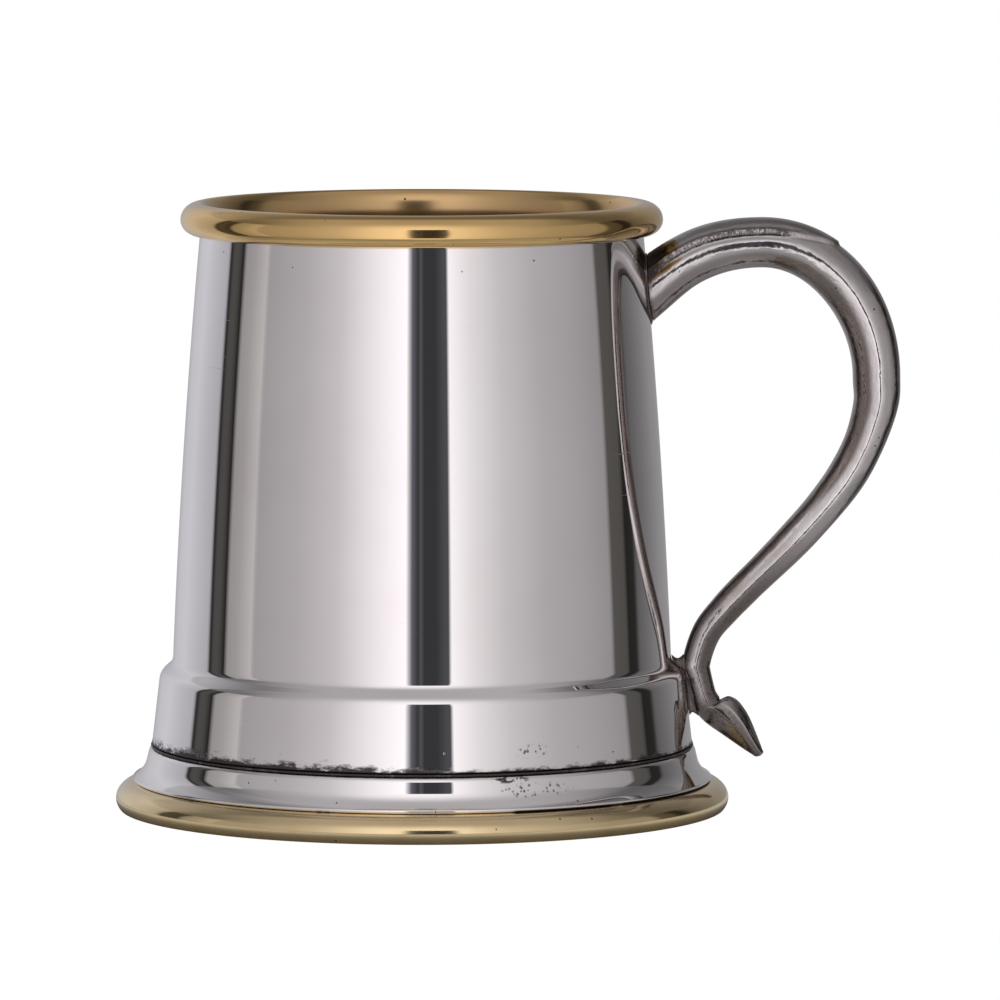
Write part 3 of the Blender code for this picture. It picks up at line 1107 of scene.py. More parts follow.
@dataclass(frozen=True)
class PatinaAndPaintedLight:
    """Darkening, brown patina, painted shade and painted highlights of the handle, by place along it and
    angle from its back.

    Places are 0 at the root, 1 at the crown, 2 at the grip, 4 at the seat and 5 at
    the tip of the hoof. Angles are in radians.
    """

    worn: float = 0.92
    worn_run: Fade = Fade(2.95, 0.75)
    # painted highlight along the side ridge of the lower bend
    painted_highlight: float = 0.95
    highlight_past: float = 0.20
    highlight_arc: float = 0.34
    highlight_run: Fade = Fade(4.50, -0.6)
    # painted highlight on the hoof's back facet
    painted_hoof_highlight: float = 0.65
    hoof_highlight_arc: Fade = Fade(1.40, -0.35)
    hoof_highlight_run: Fade = Fade(4.25, 0.2)
    strap: float = 0.58
    strap_fade: float = 0.2
    # inner side: painted shade in brown
    inner: float = 0.70
    inner_more: float = 0.27
    inner_run: Fade = Fade(0.7, 0.5)
    inner_edge: float = 1.70
    inner_drift: float = 0.28
    drift_run: Fade = Fade(2.5, 0.6)
    inner_arc: float = 0.28
    # outer side of the lower run: painted shade in brown
    outer: float = 0.80
    outer_shade_arc: Fade = Fade(0.98, -0.35)
    outer_shade_run: Fade = Fade(1.3, 0.5)
    # top of the root: painted dark reflection
    root: float = 0.95
    root_shade_arc: Fade = Fade(1.50, -0.3)
    root_run: Fade = Fade(0.42, -0.2)

    def darkening(self, place: float, turn: float, ridge: float) -> float:
        """Darkening of the lower bend and the hoof, with painted highlights where it is left off.

        Args:
            place: place along the handle.
            turn: angle from its back, without a sign.
            ridge: angle of the side ridge there.

        Returns:
            Share of darkening, less along the ridge and on the hoof's back, which are painted highlights.
        """
        along = math.exp(-((turn - ridge - self.highlight_past) / self.highlight_arc) ** 2)
        painted_highlight = self.painted_highlight * along * self.highlight_run.at(place)
        painted_hoof_highlight = self.painted_hoof_highlight * self.hoof_highlight_arc.at(turn) * self.hoof_highlight_run.at(place)
        return self.worn * self.worn_run.at(place) * (1.0 - painted_highlight) * (1.0 - painted_hoof_highlight)

    def age(self, place: float, turn: float, reach: float) -> float:
        """Brown patina on the strap, a painted dark reflection round the root's top, and painted shade along
        the inner and outer side.

        Args:
            place: place along the scroll.
            turn: angle from its back, without a sign.
            reach: half of the arc that the strap covers there.

        Returns:
            Share of patina and painted shade.
        """
        on_strap = self.strap * ease((reach - turn) / self.strap_fade + 0.5)
        edge = self.inner_edge + self.inner_drift * self.drift_run.at(place)
        most = self.inner + self.inner_more * self.inner_run.at(place)
        inner = most * ease((turn - edge) / self.inner_arc)
        outer = self.outer * self.outer_shade_arc.at(turn) * self.outer_shade_run.at(place)
        root = self.root * self.root_shade_arc.at(turn) * self.root_run.at(place)
        return max(on_strap, inner, outer, root)


@dataclass(frozen=True)
class Web:
    """Sizes of the solder web between the band and the handle's lower bend."""

    drop: float = 0.0091
    rise: float = 0.0023
    sag: float = 0.0007
    lift: float = 0.0006
    wide: float = 0.0017
    waist: float = 0.0003
    rows: int = 12
    points: int = 48
    gap: float = 0.0001
    sink: float = 0.00005
    rough: float = 0.00006
    grain: float = 900.0
    flat_side: float = 0.6
    flat_end: float = 0.8


@dataclass(frozen=True)
class Oxide:
    """Stain of the handle at its joints and in the heel of the hoof, in metres."""

    above_root: Fade = Fade(0.001, 0.004)
    root: tuple[float, float] = (0.62, 0.92)
    root_spread: tuple[float, float] = (0.0016, 0.0072)
    root_core: float = 0.0003
    upper_z: float = 0.06
    seat: float = 0.55
    seat_at: tuple[float, float] = (-0.0012, -0.0020)
    seat_fade: Fade = Fade(0.0055, -0.004)
    heel: float = 0.9
    heel_at: tuple[float, float] = (0.0051, -0.0061)
    heel_fade: Fade = Fade(0.0024, -0.0016)


@dataclass
class Handle:
    """Cast scroll with a strap along its back, a hoof at its tail and its solder.

    The run's points are (radius, height) pairs from the grip down to the seat. Half
    heights, half widths and ridges are given for every half place along the scroll.
    Each station of the tail has its back, its front and its half width, from the seat.
    """

    barrel: Barrel
    axis_x: float
    root_drop: float = 0.0107
    root_angle: float = math.radians(41.0)
    root_run: float = 0.0067
    root_gap: float = 0.0004
    root_join: float = 0.6
    root_search: tuple[float, float] = (-1.0, 0.9)
    root_halvings: int = 30
    arch_out: float = 0.0220
    arch_rise: float = 0.00862
    arch_lead: float = 0.0108
    reach_out: float = 0.0431
    reach_drop: float = 0.0249
    seat_rise: float = 0.0140
    seat_r: float = 0.0507
    seat_lead: tuple[float, float] = (0.0007, -0.0048)
    run: tuple[tuple[float, float], ...] = (
        (0.08398, 0.07548),
        (0.08266, 0.07023),
        (0.08063, 0.06528),
        (0.07795, 0.06063),
        (0.07465, 0.05624),
        (0.07112, 0.05212),
        (0.06748, 0.04823),
        (0.06370, 0.04444),
        (0.05980, 0.04061),
        (0.05598, 0.03659),
        (0.05260, 0.03221),
    )
    round_lead: float = 0.55
    halves: tuple[float, ...] = (0.0049, 0.0046, 0.0044, 0.0047, 0.0044, 0.0037, 0.00336, 0.0030, 0.0026)
    wides: tuple[float, ...] = (0.0056, 0.0055, 0.0054, 0.0053, 0.0050, 0.0046, 0.0041, 0.0035, 0.0027)
    apexes: tuple[float, ...] = (0.14, 0.12, 0.10, 0.15, 0.17, 0.15, 0.10, 0.06, 0.0)
    peak_rounds: tuple[float, ...] = (0.26, 0.26, 0.22, 0.15, 0.13, 0.13, 0.13, 0.15, 0.20)
    peak: float = 0.35
    strap_h: float = 0.0005
    strap_angle: float = math.radians(57.0)
    strap_edge: float = math.radians(5.0)
    strap_end: float = 1.36
    strap_taper: float = 0.30
    ridge_h: float = 0.00030
    ridge_arc: float = math.radians(5.0)
    ridge_rough: float = 0.00007
    ridge_grain: tuple[float, float] = (1400.0, 9.0)
    groove_past: float = 2.4
    groove_share: float = 0.5
    # painted shade line below the strap's edge, in ridge widths past the edge
    shade_line_past: float = 1.4
    shade_line_arc: float = 0.6
    tail: tuple[Station, ...] = (
        ((0.00335, -0.0033), (-0.0011, -0.0045), 0.0027),
        ((0.00390, -0.0049), (-0.0006, -0.0066), 0.0028),
        ((0.00495, -0.0060), (0.0000, -0.0083), 0.0029),
        ((0.00610, -0.0055), (0.0008, -0.0094), 0.0030),
        ((0.00755, -0.0061), (0.0022, -0.0107), 0.0031),
        ((0.00880, -0.0075), (0.0039, -0.0119), 0.0031),
        ((0.01010, -0.0097), (0.0059, -0.0133), 0.0028),
        ((0.01170, -0.0136), (0.0085, -0.0151), 0.0020),
        ((0.01250, -0.0157), (0.0108, -0.0166), 0.0009),
    )
    notch: float = 0.0004
    notch_place: float = 0.325
    notch_long: float = 0.030
    notch_arc: float = 1.0
    facet_angle: float = math.radians(64.0)
    facet_share: float = 0.8
    facet_run: Fade = Fade(0.36, 0.40)
    sink: float = 0.009
    points: int = 112
    run_rings: int = 220
    tail_rings: int = 64
    tip_rings: int = 6
    tip_out: float = 0.0006
    tip_start: float = 0.3
    crease: float = math.radians(48.0)
    pad_rows: tuple[tuple[float, float], ...] = (
        (0.00004, 0.00026),
        (0.00012, 0.00028),
        (0.00022, 0.00018),
        (0.00030, 0.00002),
        (0.00034, -0.0003),
    )
    pad_rough: float = 0.00016
    pad_grain: float = 6.0
    front_from: float = 3.2
    front_steps: int = 40
    patina_and_light: PatinaAndPaintedLight = PatinaAndPaintedLight()
    oxide: Oxide = Oxide()
    web: Web = Web()

    def __post_init__(self) -> None:
        """Work out the knots of the centre line, in the handle's plane."""
        root_z = self.barrel.top_z - self.root_drop
        self.root = Vector((self.barrel.radius(root_z), root_z))
        self.crown = Vector((self.barrel.top_r + self.arch_out, root_z + self.arch_rise))
        self.grip = Vector((self.barrel.top_r + self.reach_out, self.crown.y - self.reach_drop))
        self.seat = Vector((self.seat_r, self.barrel.low_z + self.seat_rise))
        self.lead = Vector((math.cos(self.root_angle), math.sin(self.root_angle)))

    def line(self, place: float) -> Vector:
        """Point of the centre line.

        Args:
            place: 0 at the root, 1 at the crown, 2 at the grip, 4 at the seat.

        Returns:
            Radius and height of the point.
        """
        level = Vector((1.0, 0.0))
        upright = Vector((0.0, 1.0))
        if place < 0.0:
            return self.root + self.lead * self.sink * place
        if place >= 2.0:
            return self._run_line(place)
        if place < 1.0:
            t = place
            a, d = self.root, self.crown
            b = a + self.lead * self.root_run
            c = d - level * self.arch_lead
        else:
            t = place - 1.0
            a, d = self.crown, self.grip
            b = a + level * self.round_lead * (d.x - a.x)
            c = d + upright * self.round_lead * self.reach_drop
        u = 1.0 - t
        return a * u ** 3 + b * 3 * u * u * t + c * 3 * u * t * t + d * t ** 3

    def _run_line(self, place: float) -> Vector:
        """Point of the lower run.

        Args:
            place: 2 at the grip, 4 at the seat.

        Returns:
            Radius and height of the point.
        """
        knots = [self.grip] + [Vector(knot) for knot in self.run] + [self.seat]
        before = Vector((knots[1].x, 2.0 * self.grip.y - knots[1].y))
        after = self.seat + Vector(self.seat_lead)
        knots = [before] + knots + [after]
        last = len(knots) - 4
        along = min((place - 2.0) / 2.0, 1.0) * (last + 1)
        i = min(int(along), last)
        return self._spline(knots[i:i + 4], along - i)

    @staticmethod
    def between(values: Sequence[float], place: float) -> float:
        """Value at a place along the scroll.

        Args:
            values: values for every half place.
            place: place along the scroll.

        Returns:
            The value, eased between its neighbours.
        """
        place = min(max(2.0 * place, 0.0), len(values) - 1.0)
        i = min(int(place), len(values) - 2)
        return values[i] + (values[i + 1] - values[i]) * ease(place - i)

    def section(self, place: float) -> Section:
        """Section of the scroll, down to the seat.

        Args:
            place: place along the scroll.

        Returns:
            The section.
        """
        step = 0.002
        along = self.line(min(place + step, 4.0)) - self.line(place - step)
        if place > 4.0 - step:
            along = Vector((0.0, -1.0))
        along.normalize()
        back = Vector((-along.y, along.x))
        return Section(
            self.line(place),
            back * self.between(self.halves, place),
            self.between(self.wides, place),
            self.between(self.apexes, place),
            self.between(self.peak_rounds, place),
        )

    def tail_section(self, share: float) -> Section:
        """Section of the tail.

        Args:
            share: 0 at the seat, 1 at the tip.

        Returns:
            The section.
        """
        first = self.section(4.0)
        rows = [(first.back, -first.back, first.wide)]
        rows += [(Vector(back), Vector(front), wide) for back, front, wide in self.tail]
        last = len(rows) - 1
        i = min(int(share * last), last - 1)
        t = share * last - i
        ends = [rows[max(i - 1, 0)], rows[i], rows[i + 1], rows[min(i + 2, last)]]
        back, front, wide = (self._spline([end[k] for end in ends], t) for k in range(3))
        return Section(self.seat + (back + front) / 2, (back - front) / 2, wide)

    @staticmethod
    def _spline(p: Sequence[Any], t: float) -> Any:
        """Smooth curve through a row of values.

        Args:
            p: four neighbours, numbers or vectors.
            t: share of the way from the second to the third.

        Returns:
            The Catmull-Rom value.
        """
        a = p[1] * 2.0
        b = (p[2] - p[0]) * t
        c = (p[0] * 2.0 - p[1] * 5.0 + p[2] * 4.0 - p[3]) * (t * t)
        d = (p[1] * 3.0 - p[0] - p[2] * 3.0 + p[3]) * (t ** 3)
        return (a + b + c + d) * 0.5

    def strap_reach(self, place: float) -> float:
        """Half of the arc that the strap covers.

        Args:
            place: place along the scroll.

        Returns:
            Angle from the back, 0 past the strap's end.
        """
        left = (self.strap_end - place) / self.strap_taper
        if left <= 0.0:
            return 0.0
        return self.strap_angle * math.sqrt(1.0 - (1.0 - min(left, 1.0)) ** 2)

    def relief(self, angle: float, place: float) -> tuple[float, float]:
        """Relief of the strap on the scroll.

        Args:
            angle: angle from the back.
            place: place along the scroll.

        Returns:
            Height above the scroll, and share of the strap's pitted ridge.
        """
        reach = self.strap_reach(place)
        if reach <= 0.0:
            return 0.0, 0.0
        past = abs(angle) - reach
        strap = self.strap_h * ease(0.5 - past / self.strap_edge)
        ridge = math.exp(-(past / self.ridge_arc) ** 2)
        groove = math.exp(-(past / self.ridge_arc - self.groove_past) ** 2)
        fade = ease((self.strap_end - place) / self.strap_taper - 0.3)
        return strap + fade * self.ridge_h * (ridge - self.groove_share * groove), fade * ridge

    def point(self, section: Section, angle: float, grow: float, facet: float = 0.0) -> Vector:
        """Point of a section.

        Args:
            section: the section.
            angle: angle from its back.
            grow: height above the plain oval.
            facet: share of the flat faces that meet along the back.

        Returns:
            The point in the frame of the solids.
        """
        half = section.back.length
        up = section.back / half
        level = math.cos(angle)
        high = half * level
        past = level - section.apex
        roof = self.peak * (math.hypot(past, section.soft) - section.soft) * (1.0 - abs(level))
        side = section.wide * math.copysign(max(abs(math.sin(angle)) - roof, 0.0), angle)
        if facet > 0.0 and abs(angle) < self.facet_angle:
            end = (half * math.cos(self.facet_angle), section.wide * math.sin(self.facet_angle))
            share = abs(angle) / self.facet_angle
            flat_high = half + (end[0] - half) * share
            flat_side = math.copysign(end[1] * share, angle)
            high += (flat_high - high) * facet
            side += (flat_side - side) * facet
        out = Vector((math.cos(angle) / half, math.sin(angle) / section.wide)).normalized()
        high += out.x * grow
        side += out.y * grow
        spot = section.centre + up * high
        return Vector((self.axis_x + spot.x, side, spot.y))

    def clearance(self, spot: Vector) -> float:
        """Distance of a point outside the barrel."""
        return math.hypot(spot.x - self.axis_x, spot.y) - self.barrel.radius(spot.z)

    def landing(self, angle: float, offset: float, grow: float) -> float:
        """Place at which a strand of the root leaves the barrel.

        Args:
            angle: angle of the strand from the back.
            offset: distance from the barrel's face.
            grow: height above the relief.

        Returns:
            Place along the scroll.
        """
        low, high = self.root_search
        for _ in range(self.root_halvings):
            middle = (low + high) / 2
            height = self.relief(angle, middle)[0] + grow
            if self.clearance(self.point(self.section(middle), angle, height)) < offset:
                low = middle
            else:
                high = middle
        return high

    def angles(self) -> list[float]:
        """Angles round a section, from the back and round again."""
        return [math.pi * (2.0 * i / self.points - 1.0) for i in range(self.points)]

    def build(self, cast: bpy.types.Material, solder: bpy.types.Material) -> None:
        """Build and dress the casting and its two solder joints.

        Args:
            cast: finish of the casting.
            solder: finish of the joints.
        """
        link(self._casting(), cast, "handle")
        link(self._root_pad(), solder, "root_solder")
        link(self._seat_web(), solder, "seat_solder")

    def _casting(self) -> bpy.types.Mesh:
        """Skin the scroll and the tail as one mesh with its attributes.

        Returns:
            The closed mesh.
        """
        angles = self.angles()
        starts = [self.landing(a, self.root_gap, 0.0) for a in angles]
        rings: list[list[Vector]] = []
        runs: list[tuple[float, float, float]] = []
        marks: dict[str, list[float]] = {name: [] for name in ("stain", "ridge", "age", "worn", "crease")}
        travelled = 0.0
        last = self.root
        for k in range(self.run_rings + self.tail_rings + 1):
            in_tail = k > self.run_rings
            share = (k - self.run_rings) / self.tail_rings
            place = 4.0 + share if in_tail else 4.0 * k / self.run_rings
            plain = self.tail_section(share) if in_tail else self.section(place)
            travelled += (plain.centre - last).length
            last = plain.centre
            ring = []
            for a, start in zip(angles, starts):
                if in_tail:
                    spot, ridge = self._tail_point(plain, share, a), 0.0
                else:
                    spot, ridge = self._run_point(place, a, start, travelled)
                ring.append(spot)
                runs.append((travelled, plain.back.length * math.cos(a), plain.wide * math.sin(a)))
                marks["stain"].append(self._stain(spot))
                marks["ridge"].append(ridge)
                # brown patina with painted shade and a painted dark reflection
                marks["age"].append(self._age(place, a))
                marks["worn"].append(self._worn(place, a))
                # crease: painted shade line below the strap's edge
                marks["crease"].append(self._strap_edge_shade(place, a))
            rings.append(ring)
        rings += self._tip(rings[-2], rings[-1])
        for values in (runs, *marks.values()):
            values += values[-len(angles):] * self.tip_rings
        mesh = self._loft("handle", rings)
        for name, values in marks.items():
            set_attribute(mesh, name, values)
        run = mesh.attributes.new("run", "FLOAT_VECTOR", "POINT")
        run.data.foreach_set("vector", [part for row in runs for part in row])
        return mesh

    def _run_point(self, place: float, angle: float, start: float, travelled: float) -> tuple[Vector, float]:
        """Point of the scroll, drawn in towards the barrel near the root.

        Args:
            place: place along the scroll.
            angle: angle from the back.
            start: place at which this strand leaves the barrel.
            travelled: way along the centre line, for the ridge's noise.

        Returns:
            The point, and the share of the strap's ridge there.
        """
        join = self.root_join
        here = place if place >= join else start + (join - start) * place / join
        relief, ridge = self.relief(angle, here)
        along, across = self.ridge_grain
        rough = noise.noise(Vector((travelled * along, angle * across, 3.0))) * self.ridge_rough * ridge
        return self.point(self.section(here), angle, relief + rough), ridge

    def _tail_point(self, section: Section, share: float, angle: float) -> Vector:
        """Point of the tail, with the notch above the hoof and the hoof's facets.

        Args:
            section: section of the tail.
            share: 0 at the seat, 1 at the tip.
            angle: angle from the back.

        Returns:
            The point.
        """
        facet = self.facet_share * self.facet_run.at(share)
        along = (share - self.notch_place) / self.notch_long
        dip = self.notch * math.exp(-along ** 2 - (angle / self.notch_arc) ** 2)
        return self.point(section, angle, -dip, facet)

    def _tip(self, before: list[Vector], last: list[Vector]) -> list[list[Vector]]:
        """Rings that round off the hoof's tip.

        Args:
            before: last ring but one.
            last: last ring.

        Returns:
            The rings that follow.
        """
        middle = sum(last, Vector()) / len(last)
        ahead = (middle - sum(before, Vector()) / len(before)).normalized()
        rings = []
        for k in range(1, self.tip_rings + 1):
            bend = 0.5 * math.pi * (k - self.tip_start) / self.tip_rings
            centre = middle + ahead * self.tip_out * math.sin(bend)
            rings.append([centre + (spot - middle) * math.cos(bend) for spot in last])
        return rings

    def _age(self, place: float, angle: float) -> float:
        """Brown patina and painted shade, which is the lower darkening alone on the tail.

        Args:
            place: place along the handle.
            angle: angle from the back.

        Returns:
            Share of patina and painted shade.
        """
        worn = self._worn(place, angle)
        if place > 4.0:
            return worn
        return max(worn, self.patina_and_light.age(place, abs(angle), self.strap_reach(place)))

    def _worn(self, place: float, angle: float) -> float:
        """Darkening of the lower bend and the hoof, left off along the ridge and on the hoof's back as
        painted highlights.
        """
        ridge = math.acos(self.between(self.apexes, place))
        return self.patina_and_light.darkening(place, abs(angle), ridge)

    def _strap_edge_shade(self, place: float, angle: float) -> float:
        """Painted shade line just below the strap's edge.

        Args:
            place: place along the handle.
            angle: angle from the back.

        Returns:
            Share of the line.
        """
        reach = self.strap_reach(place)
        if reach <= 0.0:
            return 0.0
        past = (abs(angle) - reach) / self.ridge_arc
        return math.exp(-((past - self.shade_line_past) / self.shade_line_arc) ** 2)

    def _stain(self, spot: Vector) -> float:
        """Oxide that gathers at the joints and in the heel of the hoof.

        Args:
            spot: point of the handle.

        Returns:
            Share of oxide.
        """
        oxide = self.oxide
        near_root = 0.0
        if spot.z > oxide.upper_z:
            above = oxide.above_root.at(spot.z - self.root.y)
            most = oxide.root[0] + (oxide.root[1] - oxide.root[0]) * above
            spread = oxide.root_spread[0] + (oxide.root_spread[1] - oxide.root_spread[0]) * above
            near_root = most * (1.0 - ease((self.clearance(spot) - oxide.root_core) / spread))
        near_seat = oxide.seat * oxide.seat_fade.at(self._from_seat(spot, oxide.seat_at))
        near_heel = oxide.heel * oxide.heel_fade.at(self._from_seat(spot, oxide.heel_at))
        return max(near_root, near_seat, near_heel)

    def _from_seat(self, spot: Vector, offset: tuple[float, float]) -> float:
        """Distance of a point from an offset of the seat."""
        middle = self.seat + Vector(offset)
        return (spot - Vector((self.axis_x + middle.x, 0.0, middle.y))).length

    def _loft(self, name: str, rings: list[list[Vector]]) -> bpy.types.Mesh:
        """Skin a row of rings and close both ends.

        Args:
            name: name of the mesh.
            rings: rings of equal length.

        Returns:
            The closed mesh.
        """
        shape = bmesh.new()
        rows = [[shape.verts.new(spot) for spot in ring] for ring in rings]
        count = len(rows[0])
        for one, two in zip(rows, rows[1:]):
            for i in range(count):
                j = (i + 1) % count
                shape.faces.new((one[i], one[j], two[j], two[i]))
        caps = [shape.faces.new(rows[0]), shape.faces.new(rows[-1])]
        bmesh.ops.triangulate(shape, faces=caps)
        bmesh.ops.recalc_face_normals(shape, faces=shape.faces[:])
        mesh = bpy.data.meshes.new(name)
        shape.to_mesh(mesh)
        shape.free()
        mesh.shade_smooth()
        mesh.set_sharp_from_angle(angle=self.crease)
        return mesh

    def _root_pad(self) -> bpy.types.Mesh:
        """Uneven solder pad between the root and the barrel.

        Returns:
            The closed mesh.
        """
        rings = []
        for offset, grow in self.pad_rows:
            ring = []
            for a in self.angles():
                grain = Vector((math.cos(a) * self.pad_grain, math.sin(a) * self.pad_grain, 1.7))
                height = grow + self.pad_rough * noise.noise(grain)
                place = self.landing(a, offset, height)
                ring.append(self.point(self.section(place), a, height + self.relief(a, place)[0]))
            rings.append(ring)
        return self._loft("root_solder", rings)

    def _front(self, z: float) -> tuple[float, float, float]:
        """The handle's front edge near the seat.

        Args:
            z: height above the table.

        Returns:
            Radius of the edge, and half height and half width of the section.
        """
        steps = self.front_steps
        long = 4.0 - self.front_from
        sections = [self.section(self.front_from + long * i / steps) for i in range(steps)]
        sections += [self.tail_section(0.5 * i / steps) for i in range(steps)]
        best = min(sections, key=lambda s: abs((s.centre - s.back).y - z))
        return (best.centre - best.back).x, best.back.length, best.wide

    def _seat_web(self) -> bpy.types.Mesh:
        """Web of solder that hangs between the band and the lower bend, thin at its middle.

        Returns:
            The closed mesh.
        """
        web = self.web
        rings = []
        for k in range(web.rows + 1):
            share = k / web.rows
            waist = math.sin(math.pi * share)
            top = self.seat.y + web.rise - web.sag * waist
            bottom = self.seat.y - web.drop + web.lift * waist
            side = web.wide - web.waist * waist
            section = arc((0.0, 0.0), 1.0, 1.0, 0.0, 360.0, web.points)[:-1]
            rings.append([self._web_point(share, waist, side, top, bottom, spot) for spot in section])
        return self._loft("seat_solder", rings)

    def _web_point(
        self, share: float, waist: float, side: float, top: float, bottom: float, spot: tuple[float, float],
    ) -> Vector:
        """Point of the seat's web.

        Args:
            share: 0 on the band, 1 on the handle.
            waist: 1 at the web's middle, 0 at its ends.
            side: half width.
            top: height of its upper edge.
            bottom: height of its lower edge.
            spot: cosine and sine of the angle round the web.

        Returns:
            The point in the frame of the solids.
        """
        web = self.web
        y = side * math.copysign(abs(spot[0]) ** web.flat_side, spot[0])
        z = (top + bottom) / 2 + (top - bottom) / 2 * math.copysign(abs(spot[1]) ** web.flat_end, spot[1])
        front_r, half, wide = self._front(z)
        near = math.sqrt((self.barrel.radius(z) + web.gap) ** 2 - y * y)
        far = front_r + half * (1.0 - math.sqrt(max(1.0 - (y / wide) ** 2, 0.0))) - web.sink
        rough = web.rough * waist * noise.noise(Vector((share * 4.0, y * web.grain, z * web.grain)))
        return Vector((self.axis_x + near + (far - near) * share, y + rough, z))


@dataclass(frozen=True)
class Panel:
    """A soft box or a dark gap of the studio.

    It has a brightness for each of its bearings, in degrees from the camera.
    """

    name: str
    bearings: tuple[float, ...]
    levels: tuple[float, ...]
    tint: Colour = WHITE


@dataclass
class Studio:
    """Ring of soft boxes round the mug, overhead light, pale floor and camera."""

    axis_x: float
    target_offset: float = 0.01443
    target_z: float = 0.057
    distance: float = 1.70
    elevation: float = math.radians(5.3)
    metres_per_pixel: float = 0.000185
    image_width: float = 1000.0
    sensor: float = 36.0
    clip_start: float = 0.01
    floor_radius: float = 0.125
    floor_sides: int = 128
    floor_drop: float = 0.00005
    floor_rough: float = 0.9
    floor_glow: float = 0.92
    floor_pale: float = 0.34
    ring_low: float = math.radians(-33.0)
    ring_top: float = math.radians(25.0)
    upper_to: float = math.radians(29.0)
    overhead_from: float = math.radians(74.0)
    zenith_from: float = math.radians(88.0)
    ground_from: float = math.radians(-49.0)
    fade: float = math.radians(3.0)
    ground: Colour = (0.31, 0.30, 0.29)
    overhead: Colour = (0.46, 0.44, 0.45)
    zenith: Colour = (0.44, 0.42, 0.43)
    back_shade: float = 0.55
    back_edge: tuple[float, float] = (0.12, 0.40)
    back_from: float = math.radians(54.0)
    floor_mirror: float = 0.37
    # painted contact shadow in the floor's reflected glow, from this distance to the mug's axis out to the
    # next
    contact_shadow_from: float = 0.0562
    contact_shadow_to: float = 0.0640
    mirror_drop: float = 0.10
    drop_near: float = 0.072
    drop_far: float = 0.092
    glints: tuple[Panel, ...] = (
        Panel("nothing", (-180, -114.2), (0.0, 0.0)),
        Panel(
            "left slit",
            (-113.0, -109.0, -106.0, -104.8),
            (0.045, 0.045, 0.030, 0.0),
            (1.0, 0.95, 0.90),
        ),
        Panel(
            "tripod",
            (-5.5, -5.3, -3.4, -2.2, -1.4),
            (0.0, 0.11, 0.085, 0.010, 0.0),
            (0.93, 0.90, 1.12),
        ),
        Panel("camera edge", (-0.5, 0.4), (0.12, 0.0)),
        Panel("curtain", (7.0, 12.6, 12.9), (0.0, 0.05, 0.0)),
        Panel("nothing more", (100, 179.9), (0.0, 0.0)),
    )
    upper: tuple[Panel, ...] = (
        Panel(
            "upper left back",
            (-180, -143, -121, -113),
            (0.30, 0.50, 0.40, 0.20),
            (0.98, 0.97, 1.0),
        ),
        Panel(
            "upper left",
            (-95, -84, -60, -40, -22, -8),
            (0.17, 0.28, 0.46, 0.64, 0.96, 1.10),
            (1.0, 0.96, 0.97),
        ),
        Panel(
            "upper right",
            (12, 25, 40, 60, 80, 98),
            (1.05, 0.84, 0.62, 0.44, 0.32, 0.20),
            (1.0, 0.96, 0.97),
        ),
        Panel("upper right back", (110, 135, 179.9), (0.12, 0.16, 0.30), (1.0, 0.98, 1.0)),
    )
    panels: tuple[Panel, ...] = (
        Panel("left back", (-180, -158, -143, -117.2), (0.36, 0.60, 0.66, 0.47), (0.97, 0.96, 1.02)),
        Panel("left gap", (-115.8, -109, -103.2), (0.030, 0.035, 0.015), (1.0, 0.95, 0.90)),
        Panel("left flag", (-102.2, -95, -85.5), (0.33, 0.38, 0.54), (1.0, 0.96, 0.94)),
        Panel(
            "left box",
            (-84, -60, -40, -22, -5.9),
            (0.38, 0.48, 0.64, 0.96, 1.22),
            (1.0, 0.95, 0.97),
        ),
        Panel("camera gap", (-5.4, 13.0), (0.042, 0.042), (0.96, 0.96, 1.08)),
        Panel(
            "right box",
            (13.5, 25, 40, 60, 80, 99.2),
            (1.10, 0.84, 0.62, 0.47, 0.40, 0.32),
            (1.0, 0.96, 0.97),
        ),
        Panel(
            "right gap",
            (100.7, 110.4, 112.4, 118.8),
            (0.095, 0.085, 0.02, 0.025),
            (1.0, 0.95, 0.88),
        ),
        Panel("right back", (121.5, 150, 179.9), (0.12, 0.27, 0.34), (1.0, 0.98, 1.0)),
    )

    def build(self) -> None:
        """Build the light, the floor and the camera."""
        self._world()
        self._floor()
        self._camera()
        bpy.context.scene.view_settings.view_transform = "Standard"

    @staticmethod
    def _stops(panels: Sequence[Panel]) -> list[tuple[float, Colour]]:
        """Ramp of the studio's light, from behind the mug and once round.

        Args:
            panels: soft boxes and gaps in the order of their bearings.

        Returns:
            Place on the ramp and colour of every stop.
        """
        stops = []
        for panel in panels:
            for bearing, level in zip(panel.bearings, panel.levels):
                stops.append((bearing / 360.0 + 0.5, tuple(level * c for c in panel.tint)))
        return stops

